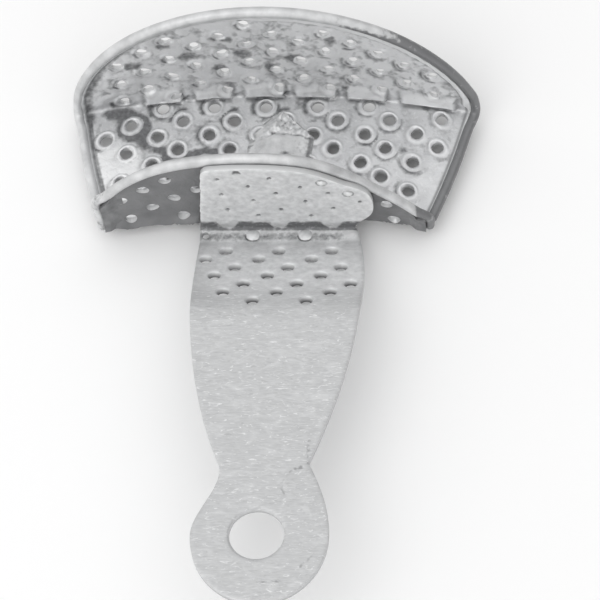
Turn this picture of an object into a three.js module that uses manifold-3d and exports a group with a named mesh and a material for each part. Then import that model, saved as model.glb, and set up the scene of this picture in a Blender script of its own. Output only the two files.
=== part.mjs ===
// An impression tray: a trough pressed from perforated sheet, a soldered wire rim and a flat ring handle.
// Millimetres, +Z up. The origin is on the underside of the floor, midway between the trough's two walls.
// The handle points along -Y, the low wall carries it, and the tall wall stands on the +Y side.

import * as THREE from "three";
import { mergeVertices } from "three/addons/utils/BufferGeometryUtils.js";
import Module from "manifold-3d";

const wasm = await Module();
wasm.setup();

// ---- Driving dimensions ----

// Stock
const SHEET = 0.6; // trough sheet
const HANDLE_SHEET = 0.9;
const WIRE = 1.3; // rim wire, diameter
const SEAT = 0.2; // joint clearance between the wire and the sheet edge it is soldered to
const TAB_GAP = 0.2; // between the rim wire and the handle's tab, which solder fills lower down
const SOLDER = 0.5; // solder skin over the trough's two front corners

// Trough, measured over the sheet's outside faces
const FLOOR_DEPTH = 20; // low wall to tall wall, at the middle
const FRONT_HALF = 20.8; // half the low wall's length
const FRONT_FLAT = 10.4; // half the stretch of the low wall that is flat
const FRONT_SWEEP = 1.15; // how far the low wall's ends stand forward of its middle
const BACK_HALF = 26.0; // half the tall wall's length
const BACK_SWEEP = 2.7; // how far the tall wall's ends stand forward of its middle
const BACK_SHIFT = 0.7; // the tall wall sits this far to the right
const SIDE_BULGE = 0.45; // outward bow of the two open side edges
const FOLD = 1.1; // outside radius of both folds

// The rims are half ellipses, given for the wire's centre line; `lean` is their slope to the left.
// Their feet stand wider than the walls, so that the wire clears the walls' ends.
// The low wall's rim runs down to its right end on a straight slope, under its ellipse.
const FRONT_RIM = {
  height: 16.05,
  half: FRONT_HALF + 1.7,
  centre: -1.3,
  lean: 0,
  slope: { x: FRONT_FLAT, height: 12.6, fall: 0.845, blend: 0.67 },
};
const BACK_RIM = { height: 21.1, half: BACK_HALF + 1.1, centre: BACK_SHIFT + 0.25, lean: 0.07 };
const FRONT_END_HEIGHT = 2.2; // least height of the low wall at its ends

// Perforation
const HOLE = 1.8; // diameter
const ROW_PITCH = 7.0; // between holes along a row
const EDGE_MARGIN = 1.5; // least distance from a hole's centre to a sheet edge

// Handle: tab, foot bend, shelf, rise, grip and ring
const FOOT_RADIUS = 0.5; // inside radius where the tab meets the shelf
const SHELF = 1.2; // flat strip at the foot of the tab
const RISE_RADIUS = 1.5; // inside radius where the shelf meets the rise
const RISE_ANGLE = 30;
const RISE = 14.0; // straight length of the rising, perforated stretch
const CREST_RADIUS = 9.0; // centre-line radius where the rise meets the grip
const GRIP_ANGLE = 4;
const HANDLE_LENGTH = 60.5; // tab face to the ring's end, in plan
const HANDLE_CENTRE = 2.35; // the handle sits this far to the right
const HANDLE_HALF = 10.3; // half width at the bend
const BEND_SHIFT = 0.7; // the bend sits this far to the left of the handle's centre line
const BELLY_SWELL = 2.3; // extra width of the grip on its right side
const CREST_SWELL = 3.3; // and of the crest, where the rise levels off
const WAIST_SWELL = 0.4; // and on its left side
const NECK_HALF = 5.7;
const NECK_TO_END = 19.7;
const RING_HALF = 8.67; // half the ring's width
const RING_LENGTH_HALF = 9.5;
const RING_BORE = 6.9; // diameter of the hanging hole
const BORE_SHIFT = { x: -0.35, y: 0.1 }; // the bore's centre from the ring's centre

// Tab
const TAB_LEFT = -7.4;
const TAB_RIGHT = 14.7;
const TAB_PROUD = 0.15; // height of the tab's top over the rim wire's centre line
const TAB_CORNER = 1.8; // width of the rounded left corner
const TAB_SHOULDER = 3.4; // width of the rounded right shoulder
const TAB_WAIST = 6.5; // height at which the tab is widest

// Drop of solder on the floor behind the handle
const DROP = { left: -3.8, right: 6.0, start: 2.4, length: 12.6, height: 1.1, edge: 0.12 };

// Steps of the round shapes
const STATIONS = 24; // across the trough
const FOLD_STEPS = 4;
const HOLE_SIDES = 8;
const WIRE_SIDES = 8;

// ---- Derived places ----

const frontY = -FLOOR_DEPTH / 2;
const backY = FLOOR_DEPTH / 2;
const wireRadius = WIRE / 2;
const wireSeat = wireRadius + SEAT; // wire centre to the sheet edge beside it
const tabBackY = frontY + SHEET / 2 - wireRadius - TAB_GAP;
const tabMidY = tabBackY - HANDLE_SHEET / 2;
const splay = (BACK_HALF + BACK_SHIFT - FRONT_HALF) / FLOOR_DEPTH; // of the right side edge
const bendLeft = HANDLE_CENTRE - HANDLE_HALF - BEND_SHIFT;
const bendRight = HANDLE_CENTRE + HANDLE_HALF - BEND_SHIFT;
const handleEndY = frontY - HANDLE_LENGTH;
const shelfMiddle = (Math.PI / 2) * (FOOT_RADIUS + HANDLE_SHEET / 2) + SHELF / 2; // along the handle

// ---- Solids ----

function toSolid(geometry) {
  const bare = geometry.clone();
  bare.deleteAttribute("normal");
  bare.deleteAttribute("uv");
  const merged = mergeVertices(bare, 1e-4);
  const vertProperties = merged.attributes.position.array;
  const triVerts = new Uint32Array(merged.index.array);
  return new wasm.Manifold(new wasm.Mesh({ numProp: 3, vertProperties, triVerts }));
}

function toGeometry(solid) {
  const mesh = solid.getMesh();
  const geometry = new THREE.BufferGeometry();
  geometry.setAttribute("position", new THREE.BufferAttribute(mesh.vertProperties, 3));
  geometry.setIndex(new THREE.BufferAttribute(mesh.triVerts, 1));
  geometry.computeVertexNormals();
  return geometry;
}

// The closed solid between two grids of points of the same size: the two faces of a formed sheet.
function sheetSolid(face, back) {
  const rows = face.length;
  const columns = face[0].length;
  const positions = [];
  for (const grid of [face, back])
    for (const row of grid)
      for (const point of row) positions.push(point.x, point.y, point.z);

  const at = (side, row, column) => side * rows * columns + row * columns + column;
  const index = [];
  const quad = (a, b, c, d) => index.push(a, b, c, a, c, d);
  for (let r = 0; r + 1 < rows; r++)
    for (let c = 0; c + 1 < columns; c++) {
      quad(at(0, r, c), at(0, r, c + 1), at(0, r + 1, c + 1), at(0, r + 1, c));
      quad(at(1, r, c), at(1, r + 1, c), at(1, r + 1, c + 1), at(1, r, c + 1));
    }
  const last = { row: rows - 1, column: columns - 1 };
  for (let r = 0; r < last.row; r++) {
    quad(at(0, r, 0), at(0, r + 1, 0), at(1, r + 1, 0), at(1, r, 0));
    quad(at(0, r, last.column), at(1, r, last.column), at(1, r + 1, last.column), at(0, r + 1, last.column));
  }
  for (let c = 0; c < last.column; c++) {
    quad(at(0, 0, c), at(1, 0, c), at(1, 0, c + 1), at(0, 0, c + 1));
    quad(at(0, last.row, c), at(0, last.row, c + 1), at(1, last.row, c + 1), at(1, last.row, c));
  }

  const geometry = new THREE.BufferGeometry();
  geometry.setAttribute("position", new THREE.Float32BufferAttribute(positions, 3));
  geometry.setIndex(index);
  const solid = toSolid(geometry);
  if (solid.volume() > 0) return solid;
  for (let i = 0; i < index.length; i += 3) [index[i + 1], index[i + 2]] = [index[i + 2], index[i + 1]];
  geometry.setIndex(index);
  return toSolid(geometry);
}

// A round bar along a curve.
function barSolid(curve, radius, steps) {
  const section = new THREE.Shape();
  for (let i = 0; i < WIRE_SIDES; i++) {
    const angle = (2 * Math.PI * i) / WIRE_SIDES;
    const x = radius * Math.cos(angle);
    const y = radius * Math.sin(angle);
    if (i === 0) section.moveTo(x, y);
    else section.lineTo(x, y);
  }
  const bar = new THREE.ExtrudeGeometry(section, { steps, extrudePath: curve, curveSegments: 1 });
  return toSolid(bar);
}

// A straight prism of a shape drawn in X and Z, from the plane y = low to y = high.
function prismAlongY(shape, low, high) {
  const depth = high - low;
  const prism = new THREE.ExtrudeGeometry(shape, { depth, bevelEnabled: false, curveSegments: 10 });
  prism.rotateX(Math.PI / 2);
  prism.translate(0, high, 0);
  return toSolid(prism);
}

// A straight prism of a shape drawn in X and Y, from z = low to z = high.
function prismAlongZ(shape, low, high) {
  const depth = high - low;
  const prism = new THREE.ExtrudeGeometry(shape, { depth, bevelEnabled: false, curveSegments: 10 });
  prism.translate(0, 0, low);
  return toSolid(prism);
}

// The tool that punches one hole: a short bar through a point, along a direction.
function punch(point, direction) {
  const reach = 4 * SHEET;
  const bar = new THREE.CylinderGeometry(HOLE / 2, HOLE / 2, reach, HOLE_SIDES);
  const turn = new THREE.Quaternion().setFromUnitVectors(new THREE.Vector3(0, 1, 0), direction);
  bar.applyQuaternion(turn);
  bar.translate(point.x, point.y, point.z);
  return toSolid(bar);
}

// Staggered rows of holes: each row is moved by `drift`, and every other one by `stagger` as well.
// Rows slope by `tilt`, and each by `fan` more than the one before it.
function staggeredRows({ start, step, drift, stagger, tilt = 0, fan = 0, rows = [-9, 9] }, fits) {
  const places = [];
  for (let row = rows[0]; row <= rows[1]; row++)
    for (let i = -7; i <= 7; i++) {
      const along = start[0] + ROW_PITCH * i + drift * row + (row % 2 ? stagger : 0);
      const across = start[1] + step * row + (tilt + fan * row) * along;
      if (fits(along, across)) places.push([along, across]);
    }
  return places;
}

// ---- Trough ----

// Outside face of the low wall, in plan
function frontFace(x) {
  const bent = Math.max(0, (Math.abs(x) - FRONT_FLAT) / (FRONT_HALF - FRONT_FLAT));
  return frontY - FRONT_SWEEP * bent ** 1.8;
}

// Outside face of the tall wall, in plan
function backFace(x) {
  return backY - BACK_SWEEP * ((x - BACK_SHIFT) / BACK_HALF) ** 2;
}

// Height of a rim's centre line, or of the sheet's top edge at `inset` inside it
function rimHeight(rim, x, inset = 0) {
  let height = 0;
  for (let pass = 0; pass < 8; pass++) {
    const across = Math.min(1, Math.abs(x - rim.centre + rim.lean * height) / (rim.half - inset));
    height = (rim.height - inset) * Math.sqrt(1 - across * across);
  }
  if (!rim.slope) return height;
  const { x: from, height: top, fall, blend } = rim.slope;
  const slope = top - fall * (x - from) - inset * Math.hypot(1, fall);
  return -blend * Math.log(Math.exp(-height / blend) + Math.exp(-slope / blend));
}

function frontTop(x) {
  return Math.max(FRONT_END_HEIGHT, rimHeight(FRONT_RIM, x, wireSeat));
}

function backTop(x) {
  return rimHeight(BACK_RIM, x, wireSeat);
}

// A section of the trough at station u, from -1 at the left edge to 1 at the right one.
function station(u) {
  const frontX = FRONT_HALF * u;
  const backX = BACK_SHIFT + BACK_HALF * u;
  const front = new THREE.Vector2(frontX, frontFace(frontX));
  const back = new THREE.Vector2(backX, backFace(backX));
  const depth = front.distanceTo(back);
  const place = (distance, z) => {
    const share = distance / depth;
    const bow = SIDE_BULGE * u * 4 * share * (1 - share);
    return new THREE.Vector3(
      THREE.MathUtils.lerp(front.x, back.x, share) + bow,
      THREE.MathUtils.lerp(front.y, back.y, share),
      z,
    );
  };
  return { depth, place };
}

// The trough's section along one face of the sheet, `inset` inside the outside face.
function sectionLine(u, inset) {
  const { depth, place } = station(u);
  const low = frontTop(place(inset, 0).x);
  const high = backTop(place(depth - inset, 0).x);
  const radius = FOLD - inset;
  const line = [place(inset, low), place(inset, (low + FOLD) / 2)];
  for (let i = 0; i <= FOLD_STEPS; i++) {
    const angle = (Math.PI / 2) * (i / FOLD_STEPS);
    line.push(place(FOLD - radius * Math.cos(angle), FOLD - radius * Math.sin(angle)));
  }
  for (const share of [0.25, 0.5, 0.75])
    line.push(place(THREE.MathUtils.lerp(FOLD, depth - FOLD, share), inset));
  for (let i = 0; i <= FOLD_STEPS; i++) {
    const angle = (Math.PI / 2) * (i / FOLD_STEPS);
    line.push(place(depth - FOLD + radius * Math.sin(angle), FOLD - radius * Math.cos(angle)));
  }
  line.push(place(depth - inset, (high + FOLD) / 2), place(depth - inset, high));
  return line;
}

function troughHoles() {
  const up = new THREE.Vector3(0, 0, 1);
  const ahead = new THREE.Vector3(0, 1, 0);
  const clear = FOLD + 0.1;

  const onFloor = (x, y) => {
    const share = (y - frontFace(x)) / (backFace(x) - frontFace(x));
    const half = THREE.MathUtils.lerp(FRONT_HALF, BACK_HALF, share) - EDGE_MARGIN;
    const middle = BACK_SHIFT * share;
    const between = y > frontFace(x) + clear && y < backFace(x) - clear;
    return between && Math.abs(x - middle) < half;
  };
  const floorRows = { start: [13.24, backY - 2.5], step: -2.2, drift: -0.23, stagger: 3.06 };
  const floor = staggeredRows(floorRows, onFloor).map(([x, y]) =>
    punch(new THREE.Vector3(x, y, SHEET / 2), up),
  );

  const lowEnds = FRONT_HALF - 1.8;
  const onFront = (x, z) => Math.abs(x) < lowEnds && z > clear && z < frontTop(x) - EDGE_MARGIN + 0.4;
  const frontRows = {
    start: [-11.65, 5.98],
    step: -2.1,
    drift: 0.4,
    stagger: 3.5,
    tilt: -0.045,
    fan: 0.0126,
  };
  const front = staggeredRows(frontRows, onFront).map(([x, z]) =>
    punch(new THREE.Vector3(x, frontFace(x) + SHEET / 2, z), ahead),
  );

  const highEnds = BACK_HALF - 2;
  const onBack = (x, z) =>
    Math.abs(x - BACK_SHIFT) < highEnds && z > clear && z < backTop(x) - EDGE_MARGIN;
  const backRows = { start: [-5.9, 11.6], step: 2.25, drift: 0, stagger: 3.5, tilt: 0.04 };
  const back = staggeredRows(backRows, onBack).map(([x, z]) =>
    punch(new THREE.Vector3(x, backFace(x) - SHEET / 2, z), ahead),
  );
  return [...floor, ...front, ...back];
}

function makeTrough() {
  const outside = [];
  const inside = [];
  for (let i = 0; i <= STATIONS; i++) {
    const u = (2 * i) / STATIONS - 1;
    outside.push(sectionLine(u, 0));
    inside.push(sectionLine(u, SHEET));
  }
  const blank = sheetSolid(outside, inside);
  const tools = troughHoles().reduce((all, tool) => all.add(tool));
  return blank.subtract(tools);
}

// ---- Rim wires ----

// A smooth curve through points on a wire's centre line
function wireCurve(points) {
  return new THREE.CatmullRomCurve3(points, false, "centripetal");
}

// The long wire: up one side of the floor, over the tall wall's arched top, and down the other side.
function makeBackRim() {
  const sideGap = wireSeat;
  const sideLine = (side) => {
    const points = [];
    for (const share of [0.07, 0.3, 0.55, 0.8]) {
      const { depth, place } = station(side);
      const point = place(depth * share, wireRadius + SEAT / 2);
      point.x += side * sideGap;
      points.push(point);
    }
    return points;
  };
  const arch = [];
  const steps = 26;
  const footAngle = 0.16; // where the arch's foot turns into the side
  for (let i = 0; i <= steps; i++) {
    const angle = THREE.MathUtils.lerp(Math.PI - footAngle, footAngle, i / steps);
    const z = BACK_RIM.height * Math.sin(angle);
    const x = BACK_RIM.centre + BACK_RIM.half * Math.cos(angle) - BACK_RIM.lean * z;
    arch.push(new THREE.Vector3(x, backFace(x) - SHEET / 2, z));
  }
  const turnOf = (side) => {
    const x = BACK_SHIFT + side * (BACK_HALF + wireSeat + 0.05);
    return new THREE.Vector3(x, backFace(x) - 1.0, 1.15);
  };
  const points = [...sideLine(-1), turnOf(-1), ...arch, turnOf(1), ...sideLine(1).reverse()];
  return barSolid(wireCurve(points), wireRadius, 84);
}

// The short wire: up one end of the low wall, over its arched top, and down the other end.
function makeFrontRim() {
  const endX = FRONT_HALF + wireSeat + splay * wireRadius;
  const endAt = (side, z) => new THREE.Vector3(side * endX, frontFace(FRONT_HALF) + SHEET / 2, z);
  const top = [];
  const steps = 22;
  for (let i = 0; i <= steps; i++) {
    const x = THREE.MathUtils.lerp(-FRONT_HALF + 0.2, FRONT_HALF - 0.5, i / steps);
    const z = Math.max(rimHeight(FRONT_RIM, x), FRONT_END_HEIGHT + wireSeat);
    top.push(new THREE.Vector3(x, frontFace(x) + SHEET / 2, z));
  }
  const leftTurn = endAt(-1, rimHeight(FRONT_RIM, -FRONT_HALF) - 0.9);
  const rightTurn = endAt(1, FRONT_END_HEIGHT + 0.2);
  const foot = wireRadius * 0.4;
  const points = [endAt(-1, foot), endAt(-1, 2.5), leftTurn, ...top, rightTurn, endAt(1, foot)];
  return barSolid(wireCurve(points), wireRadius, 52);
}

// ---- Handle ----

// The handle's centre line in side view: each leg is a straight run or a turn, starting down the tab.
function handleLine() {
  const half = HANDLE_SHEET / 2;
  const footTurn = FOOT_RADIUS + half;
  const legs = [
    { turn: 90, radius: footTurn, steps: 6 },
    { run: SHELF },
    { turn: RISE_ANGLE, radius: RISE_RADIUS + half, steps: 4 },
    { run: RISE },
    { turn: GRIP_ANGLE - RISE_ANGLE, radius: CREST_RADIUS, steps: 5 },
    { run: HANDLE_LENGTH },
  ];
  let y = tabMidY;
  let z = half + footTurn;
  let angle = -90;
  const line = [{ y, z: FRONT_RIM.height + 2, angle }, { y, z, angle }];
  const move = (length) => {
    const slope = THREE.MathUtils.degToRad(angle);
    y -= length * Math.cos(slope);
    z += length * Math.sin(slope);
  };
  for (const leg of legs) {
    if (leg.run) {
      move(leg.run);
      line.push({ y, z, angle });
      continue;
    }
    const part = leg.turn / leg.steps;
    const chord = 2 * leg.radius * Math.sin(THREE.MathUtils.degToRad(Math.abs(part)) / 2);
    for (let i = 0; i < leg.steps; i++) {
      angle += part / 2;
      move(chord);
      angle += part / 2;
      line.push({ y, z, angle });
    }
  }
  return line;
}

const handleSide = handleLine();

// The bent sheet's side profile as a prism wide enough for the whole handle
function bentSheet() {
  const half = HANDLE_SHEET / 2;
  const offset = (side) =>
    handleSide.map(({ y, z, angle }) => {
      const slope = THREE.MathUtils.degToRad(angle);
      return { y: y + side * half * Math.sin(slope), z: z + side * half * Math.cos(slope) };
    });
  const width = 20;
  const grid = (x) => (points) => points.map(({ y, z }) => new THREE.Vector3(x, y, z));
  const left = grid(HANDLE_CENTRE - width);
  const right = grid(HANDLE_CENTRE + width);
  const upper = offset(1);
  const lower = offset(-1);
  return sheetSolid([left(upper), right(upper)], [left(lower), right(lower)]);
}

// Plan outline of the shelf, rise, grip and ring
function gripOutline() {
  const neckY = handleEndY + NECK_TO_END;
  const ringY = handleEndY + RING_LENGTH_HALF;
  const neckLeft = HANDLE_CENTRE - NECK_HALF;
  const neckRight = HANDLE_CENTRE + NECK_HALF;
  const ringLeft = HANDLE_CENTRE - RING_HALF;
  const ringRight = HANDLE_CENTRE + RING_HALF;
  const waist = bendLeft - WAIST_SWELL;
  const belly = bendRight + BELLY_SWELL;
  const crest = bendRight + CREST_SWELL;
  const down = (share) => THREE.MathUtils.lerp(tabBackY, neckY, share); // from the bend to the neck
  const pull = (NECK_TO_END - RING_LENGTH_HALF) / 3; // reach of the curves between neck and ring
  const outline = new THREE.Shape();
  outline.moveTo(bendRight, tabBackY);
  outline.lineTo(bendLeft, tabBackY);
  outline.bezierCurveTo(bendLeft, down(0.35), waist, down(0.68), neckLeft, neckY);
  outline.bezierCurveTo(neckLeft + pull / 3, neckY - pull, ringLeft, ringY + pull, ringLeft, ringY);
  outline.absellipse(HANDLE_CENTRE, ringY, RING_HALF, RING_LENGTH_HALF, Math.PI, 2 * Math.PI, false, 0);
  outline.bezierCurveTo(ringRight, ringY + pull, neckRight + pull / 2, neckY - pull, neckRight, neckY);
  outline.bezierCurveTo(belly, down(0.6), crest, down(0.25), bendRight, tabBackY);
  return outline;
}

// Outline of the tab that stands against the low wall, in X and Z; its top follows the rim.
function tabOutline() {
  const shelfTop = HANDLE_SHEET / 2;
  const topAt = (x) => rimHeight(FRONT_RIM, x) + TAB_PROUD;
  const cornerX = TAB_LEFT + TAB_CORNER;
  const shoulderX = TAB_RIGHT - TAB_SHOULDER;
  const outline = new THREE.Shape();
  outline.moveTo(bendLeft, shelfTop);
  outline.lineTo(TAB_LEFT, topAt(cornerX) - TAB_CORNER);
  outline.quadraticCurveTo(TAB_LEFT, topAt(cornerX), cornerX, topAt(cornerX));
  for (let i = 1; i <= 8; i++) {
    const x = THREE.MathUtils.lerp(cornerX, shoulderX, i / 8);
    outline.lineTo(x, topAt(x));
  }
  const pull = TAB_WAIST / 2; // reach of the curves on the right side
  const shoulderTop = topAt(TAB_RIGHT - 2);
  outline.bezierCurveTo(TAB_RIGHT - 1, shoulderTop, TAB_RIGHT, TAB_WAIST + pull, TAB_RIGHT, TAB_WAIST);
  outline.bezierCurveTo(TAB_RIGHT, TAB_WAIST - pull, bendRight + 1, TAB_WAIST - pull, bendRight, shelfTop);
  return outline;
}

// The place and the upright of the sheet at a distance along the handle's centre line past the tab
function alongHandle(distance) {
  let left = distance;
  for (let i = 1; i + 1 < handleSide.length; i++) {
    const a = handleSide[i];
    const b = handleSide[i + 1];
    const length = Math.hypot(b.y - a.y, b.z - a.z);
    if (left > length) {
      left -= length;
      continue;
    }
    const share = left / length;
    const upright = new THREE.Vector3(0, (b.z - a.z) / length, (a.y - b.y) / length);
    return {
      y: THREE.MathUtils.lerp(a.y, b.y, share),
      z: THREE.MathUtils.lerp(a.z, b.z, share),
      upright,
    };
  }
  throw new Error("past the handle's end");
}

function handleHoles() {
  const firstRow = shelfMiddle + ROW_PITCH / 2;
  const rowStep = 2.04;
  const crestRow = firstRow + 6 * rowStep; // the last row, which misses its hole at the left edge
  const inRise = (x, distance) => {
    const margin = distance > crestRow - rowStep / 2 ? 2 * EDGE_MARGIN : EDGE_MARGIN - HOLE / 4;
    return x > bendLeft + margin && x < bendRight + HOLE / 2;
  };
  const inShelf = (x) => x > bendLeft + EDGE_MARGIN && x < bendRight - EDGE_MARGIN;
  const rise = { start: [2.07, firstRow], step: rowStep, drift: 0.75, stagger: -3.26, rows: [0, 6] };
  const shelf = { start: [-1.6, shelfMiddle], step: 0, drift: 0, stagger: 0, rows: [0, 0] };
  return [...staggeredRows(rise, inRise), ...staggeredRows(shelf, inShelf)].map(([x, distance]) => {
    const { y, z, upright } = alongHandle(distance);
    return punch(new THREE.Vector3(x, y, z), upright);
  });
}

// The room above the foot bend, where only the tab stands
function tabRoom() {
  const room = new THREE.Shape();
  const half = RING_HALF + HANDLE_HALF;
  const front = tabBackY - HANDLE_SHEET - FOOT_RADIUS / 2;
  room.moveTo(HANDLE_CENTRE - half, front);
  room.lineTo(HANDLE_CENTRE + half, front);
  room.lineTo(HANDLE_CENTRE + half, tabBackY + 1);
  room.lineTo(HANDLE_CENTRE - half, tabBackY + 1);
  return prismAlongZ(room, HANDLE_SHEET + FOOT_RADIUS, FRONT_RIM.height + 3);
}

function makeHandle() {
  const bent = bentSheet();
  const grip = prismAlongZ(gripOutline(), -1, FRONT_RIM.height).subtract(tabRoom());
  const tab = prismAlongY(tabOutline(), tabBackY - HANDLE_SHEET - FOOT_RADIUS, tabBackY + 0.2);
  const boreX = HANDLE_CENTRE + BORE_SHIFT.x;
  const boreY = handleEndY + RING_LENGTH_HALF + BORE_SHIFT.y;
  const boreShape = new THREE.Shape();
  boreShape.absarc(boreX, boreY, RING_BORE / 2, 0, 2 * Math.PI);
  const bore = prismAlongZ(boreShape, -1, FRONT_RIM.height);
  const tools = handleHoles().reduce((all, tool) => all.add(tool));
  return bent.intersect(grip.add(tab)).subtract(bore).subtract(tools);
}

// ---- Solder ----

// The film that fills the joint between the low wall's flat stretch and the handle's tab
function makeHandleSolder() {
  const film = new THREE.Shape();
  const left = TAB_LEFT + 0.9;
  const right = FRONT_FLAT - 1.2;
  const bottom = FOLD + 0.8;
  const topAt = (x) => frontTop(x) - 0.5;
  film.moveTo(left, bottom);
  for (let i = 0; i <= 8; i++) {
    const x = THREE.MathUtils.lerp(left, right, i / 8);
    film.lineTo(x, topAt(x));
  }
  film.lineTo(right, bottom);
  return prismAlongY(film, tabBackY, frontY);
}

// The skin of solder over the outside of a front corner, where the two wires come together
function makeCornerSolder(side) {
  const gap = 0.1;
  const reach = 2.6;
  const steps = 4;
  const grid = (offset) => {
    const rows = [];
    for (let i = 0; i <= steps; i++) {
      const x = side * THREE.MathUtils.lerp(FRONT_HALF - reach, FRONT_HALF - gap, i / steps);
      const top = frontTop(x) - gap;
      const y = frontFace(x) - gap - offset;
      const bottom = FOLD;
      rows.push([0, 0.5, 1].map((t) => new THREE.Vector3(x, y, THREE.MathUtils.lerp(bottom, top, t))));
    }
    return rows;
  };
  return sheetSolid(grid(0), grid(SOLDER));
}

// The low drop of solder that ran across the floor from the handle's joint; it starts behind the wall
function makeDrop() {
  const across = 10;
  const along = 10;
  const narrowing = 0.94; // share of the width lost at the far end
  const sway = 0.8; // how far the far end lies to the right
  const grid = (heightAt) => {
    const rows = [];
    for (let i = 0; i <= across; i++) {
      const row = [];
      for (let j = 0; j <= along; j++) {
        const s = i / across;
        const t = j / along;
        const narrow = Math.sqrt(1 - (narrowing * t) ** 2);
        const middle = (DROP.left + DROP.right) / 2 + sway * t;
        const x = middle + (s - 0.5) * (DROP.right - DROP.left) * narrow;
        const y = frontY + DROP.start + DROP.length * t;
        row.push(new THREE.Vector3(x, y, SHEET + heightAt(s, t)));
      }
      rows.push(row);
    }
    return rows;
  };
  const rise = DROP.height - DROP.edge;
  const crown = (s, t) => DROP.edge + rise * Math.sin(Math.PI * s) ** 0.7 * (1 - 0.75 * t * t);
  return sheetSolid(grid(crown), grid(() => 0));
}

// ---- Assembly ----

const tray = new THREE.Group();

function addPiece(name, solid, color, roughness) {
  const material = new THREE.MeshStandardMaterial({ color, roughness, metalness: 1 });
  const piece = new THREE.Mesh(toGeometry(solid), material);
  piece.name = name;
  tray.add(piece);
}

addPiece("tray_shell", makeTrough(), 0xb9bbbe, 0.2);
addPiece("outer_rim_wire", makeBackRim(), 0xc6c8ca, 0.35);
addPiece("near_rim_wire", makeFrontRim(), 0xc6c8ca, 0.35);
addPiece("handle_plate", makeHandle(), 0xc4c6c8, 0.45);
addPiece("handle_braze", makeHandleSolder(), 0x9fa1a3, 0.55);
addPiece("corner_braze_left", makeCornerSolder(-1), 0x9fa1a3, 0.55);
addPiece("corner_braze_right", makeCornerSolder(1), 0x9fa1a3, 0.55);
addPiece("floor_braze", makeDrop(), 0xbcbec0, 0.4);

export default tray;
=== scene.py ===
"""An impression tray's visual model, made in the places of its CAD nodes.

The two sheets, the two rim wires and the solder are fine meshes. A sheet is a flat pattern, which is
triangulated round its perforation and then folded into its place. Lengths are millimetres in the CAD frame,
+Z up with the handle along -Y, and turn into metres where they reach Blender.
"""

import math

import bpy
import numpy as np
from mathutils import Matrix, Vector, noise
from mathutils.geometry import delaunay_2d_cdt


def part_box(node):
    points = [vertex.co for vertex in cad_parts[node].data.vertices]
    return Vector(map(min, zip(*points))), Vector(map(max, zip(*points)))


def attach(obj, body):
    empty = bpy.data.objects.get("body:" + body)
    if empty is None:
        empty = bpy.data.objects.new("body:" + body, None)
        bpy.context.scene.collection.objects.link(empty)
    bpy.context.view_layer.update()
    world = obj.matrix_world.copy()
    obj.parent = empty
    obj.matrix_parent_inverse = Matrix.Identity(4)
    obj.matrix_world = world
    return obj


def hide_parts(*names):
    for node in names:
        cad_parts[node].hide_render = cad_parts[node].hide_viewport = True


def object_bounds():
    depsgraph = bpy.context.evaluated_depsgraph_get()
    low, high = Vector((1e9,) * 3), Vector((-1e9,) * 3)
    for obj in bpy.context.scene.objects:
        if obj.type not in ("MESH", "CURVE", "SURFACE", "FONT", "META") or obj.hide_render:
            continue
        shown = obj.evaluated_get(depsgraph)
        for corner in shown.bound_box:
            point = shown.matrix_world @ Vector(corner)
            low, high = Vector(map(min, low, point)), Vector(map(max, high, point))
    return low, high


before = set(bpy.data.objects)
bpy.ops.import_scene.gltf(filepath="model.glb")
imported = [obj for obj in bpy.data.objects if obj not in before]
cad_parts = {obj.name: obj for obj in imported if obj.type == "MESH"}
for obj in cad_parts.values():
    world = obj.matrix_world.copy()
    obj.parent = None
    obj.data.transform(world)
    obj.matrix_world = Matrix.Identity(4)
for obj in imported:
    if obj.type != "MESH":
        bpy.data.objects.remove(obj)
cad_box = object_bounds()

MM = 0.001

# ---- Sizes shared with the CAD model ----

SHEET = 0.6
HANDLE_SHEET = 0.9
WIRE_RADIUS = 0.65
WIRE_SEAT = 0.85  # wire centre to the CAD sheet's edge

FRONT_Y = -10.0  # outside of the low wall, at the middle
BACK_Y = 10.0  # outside of the tall wall, at the middle
FRONT_HALF = 20.8
FRONT_FLAT = 10.4
FRONT_SWEEP = 1.15
BACK_HALF = 26.0
BACK_SWEEP = 2.7
BACK_SHIFT = 0.7
SIDE_BULGE = 0.45
FOLD = 1.1
FRONT_END_HEIGHT = 2.2
RIGHT_SLOPE = {"x": FRONT_FLAT, "height": 12.6, "fall": 0.845, "blend": 0.67}
FRONT_RIM = {"height": 16.05, "half": 22.5, "centre": -1.3, "lean": 0.0, "slope": RIGHT_SLOPE}
BACK_RIM = {"height": 21.1, "half": 27.1, "centre": 0.95, "lean": 0.07}

HOLE_RADIUS = 0.9
ROW_PITCH = 7.0
EDGE_MARGIN = 1.5
LOW_TILT = {"tilt": -0.045, "fan": 0.0126}
FLOOR_ROWS = {"start": (13.24, BACK_Y - 2.5), "step": -2.2, "drift": -0.23, "stagger": 3.06}
LOW_WALL_ROWS = {"start": (-11.65, 5.98), "step": -2.1, "drift": 0.4, "stagger": 3.5, **LOW_TILT}
TALL_WALL_ROWS = {"start": (-5.9, 11.6), "step": 2.25, "stagger": 3.5, "tilt": 0.04}
RISE_ROWS = {"step": 2.04, "drift": 0.75, "stagger": -3.26, "rows": range(7)}
TAB_ROWS = {"step": 1.95, "drift": -0.2, "stagger": 3.3, "rows": range(7)}
RISE_X = 2.07  # where the rise's rows start, the shelf's row, and the tab's rows
SHELF_X = -1.6
TAB_START = (-0.2, 3.9)
FLOOR_SAG = 0.8  # how far the floor's rows sink towards the low wall at their left end

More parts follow.
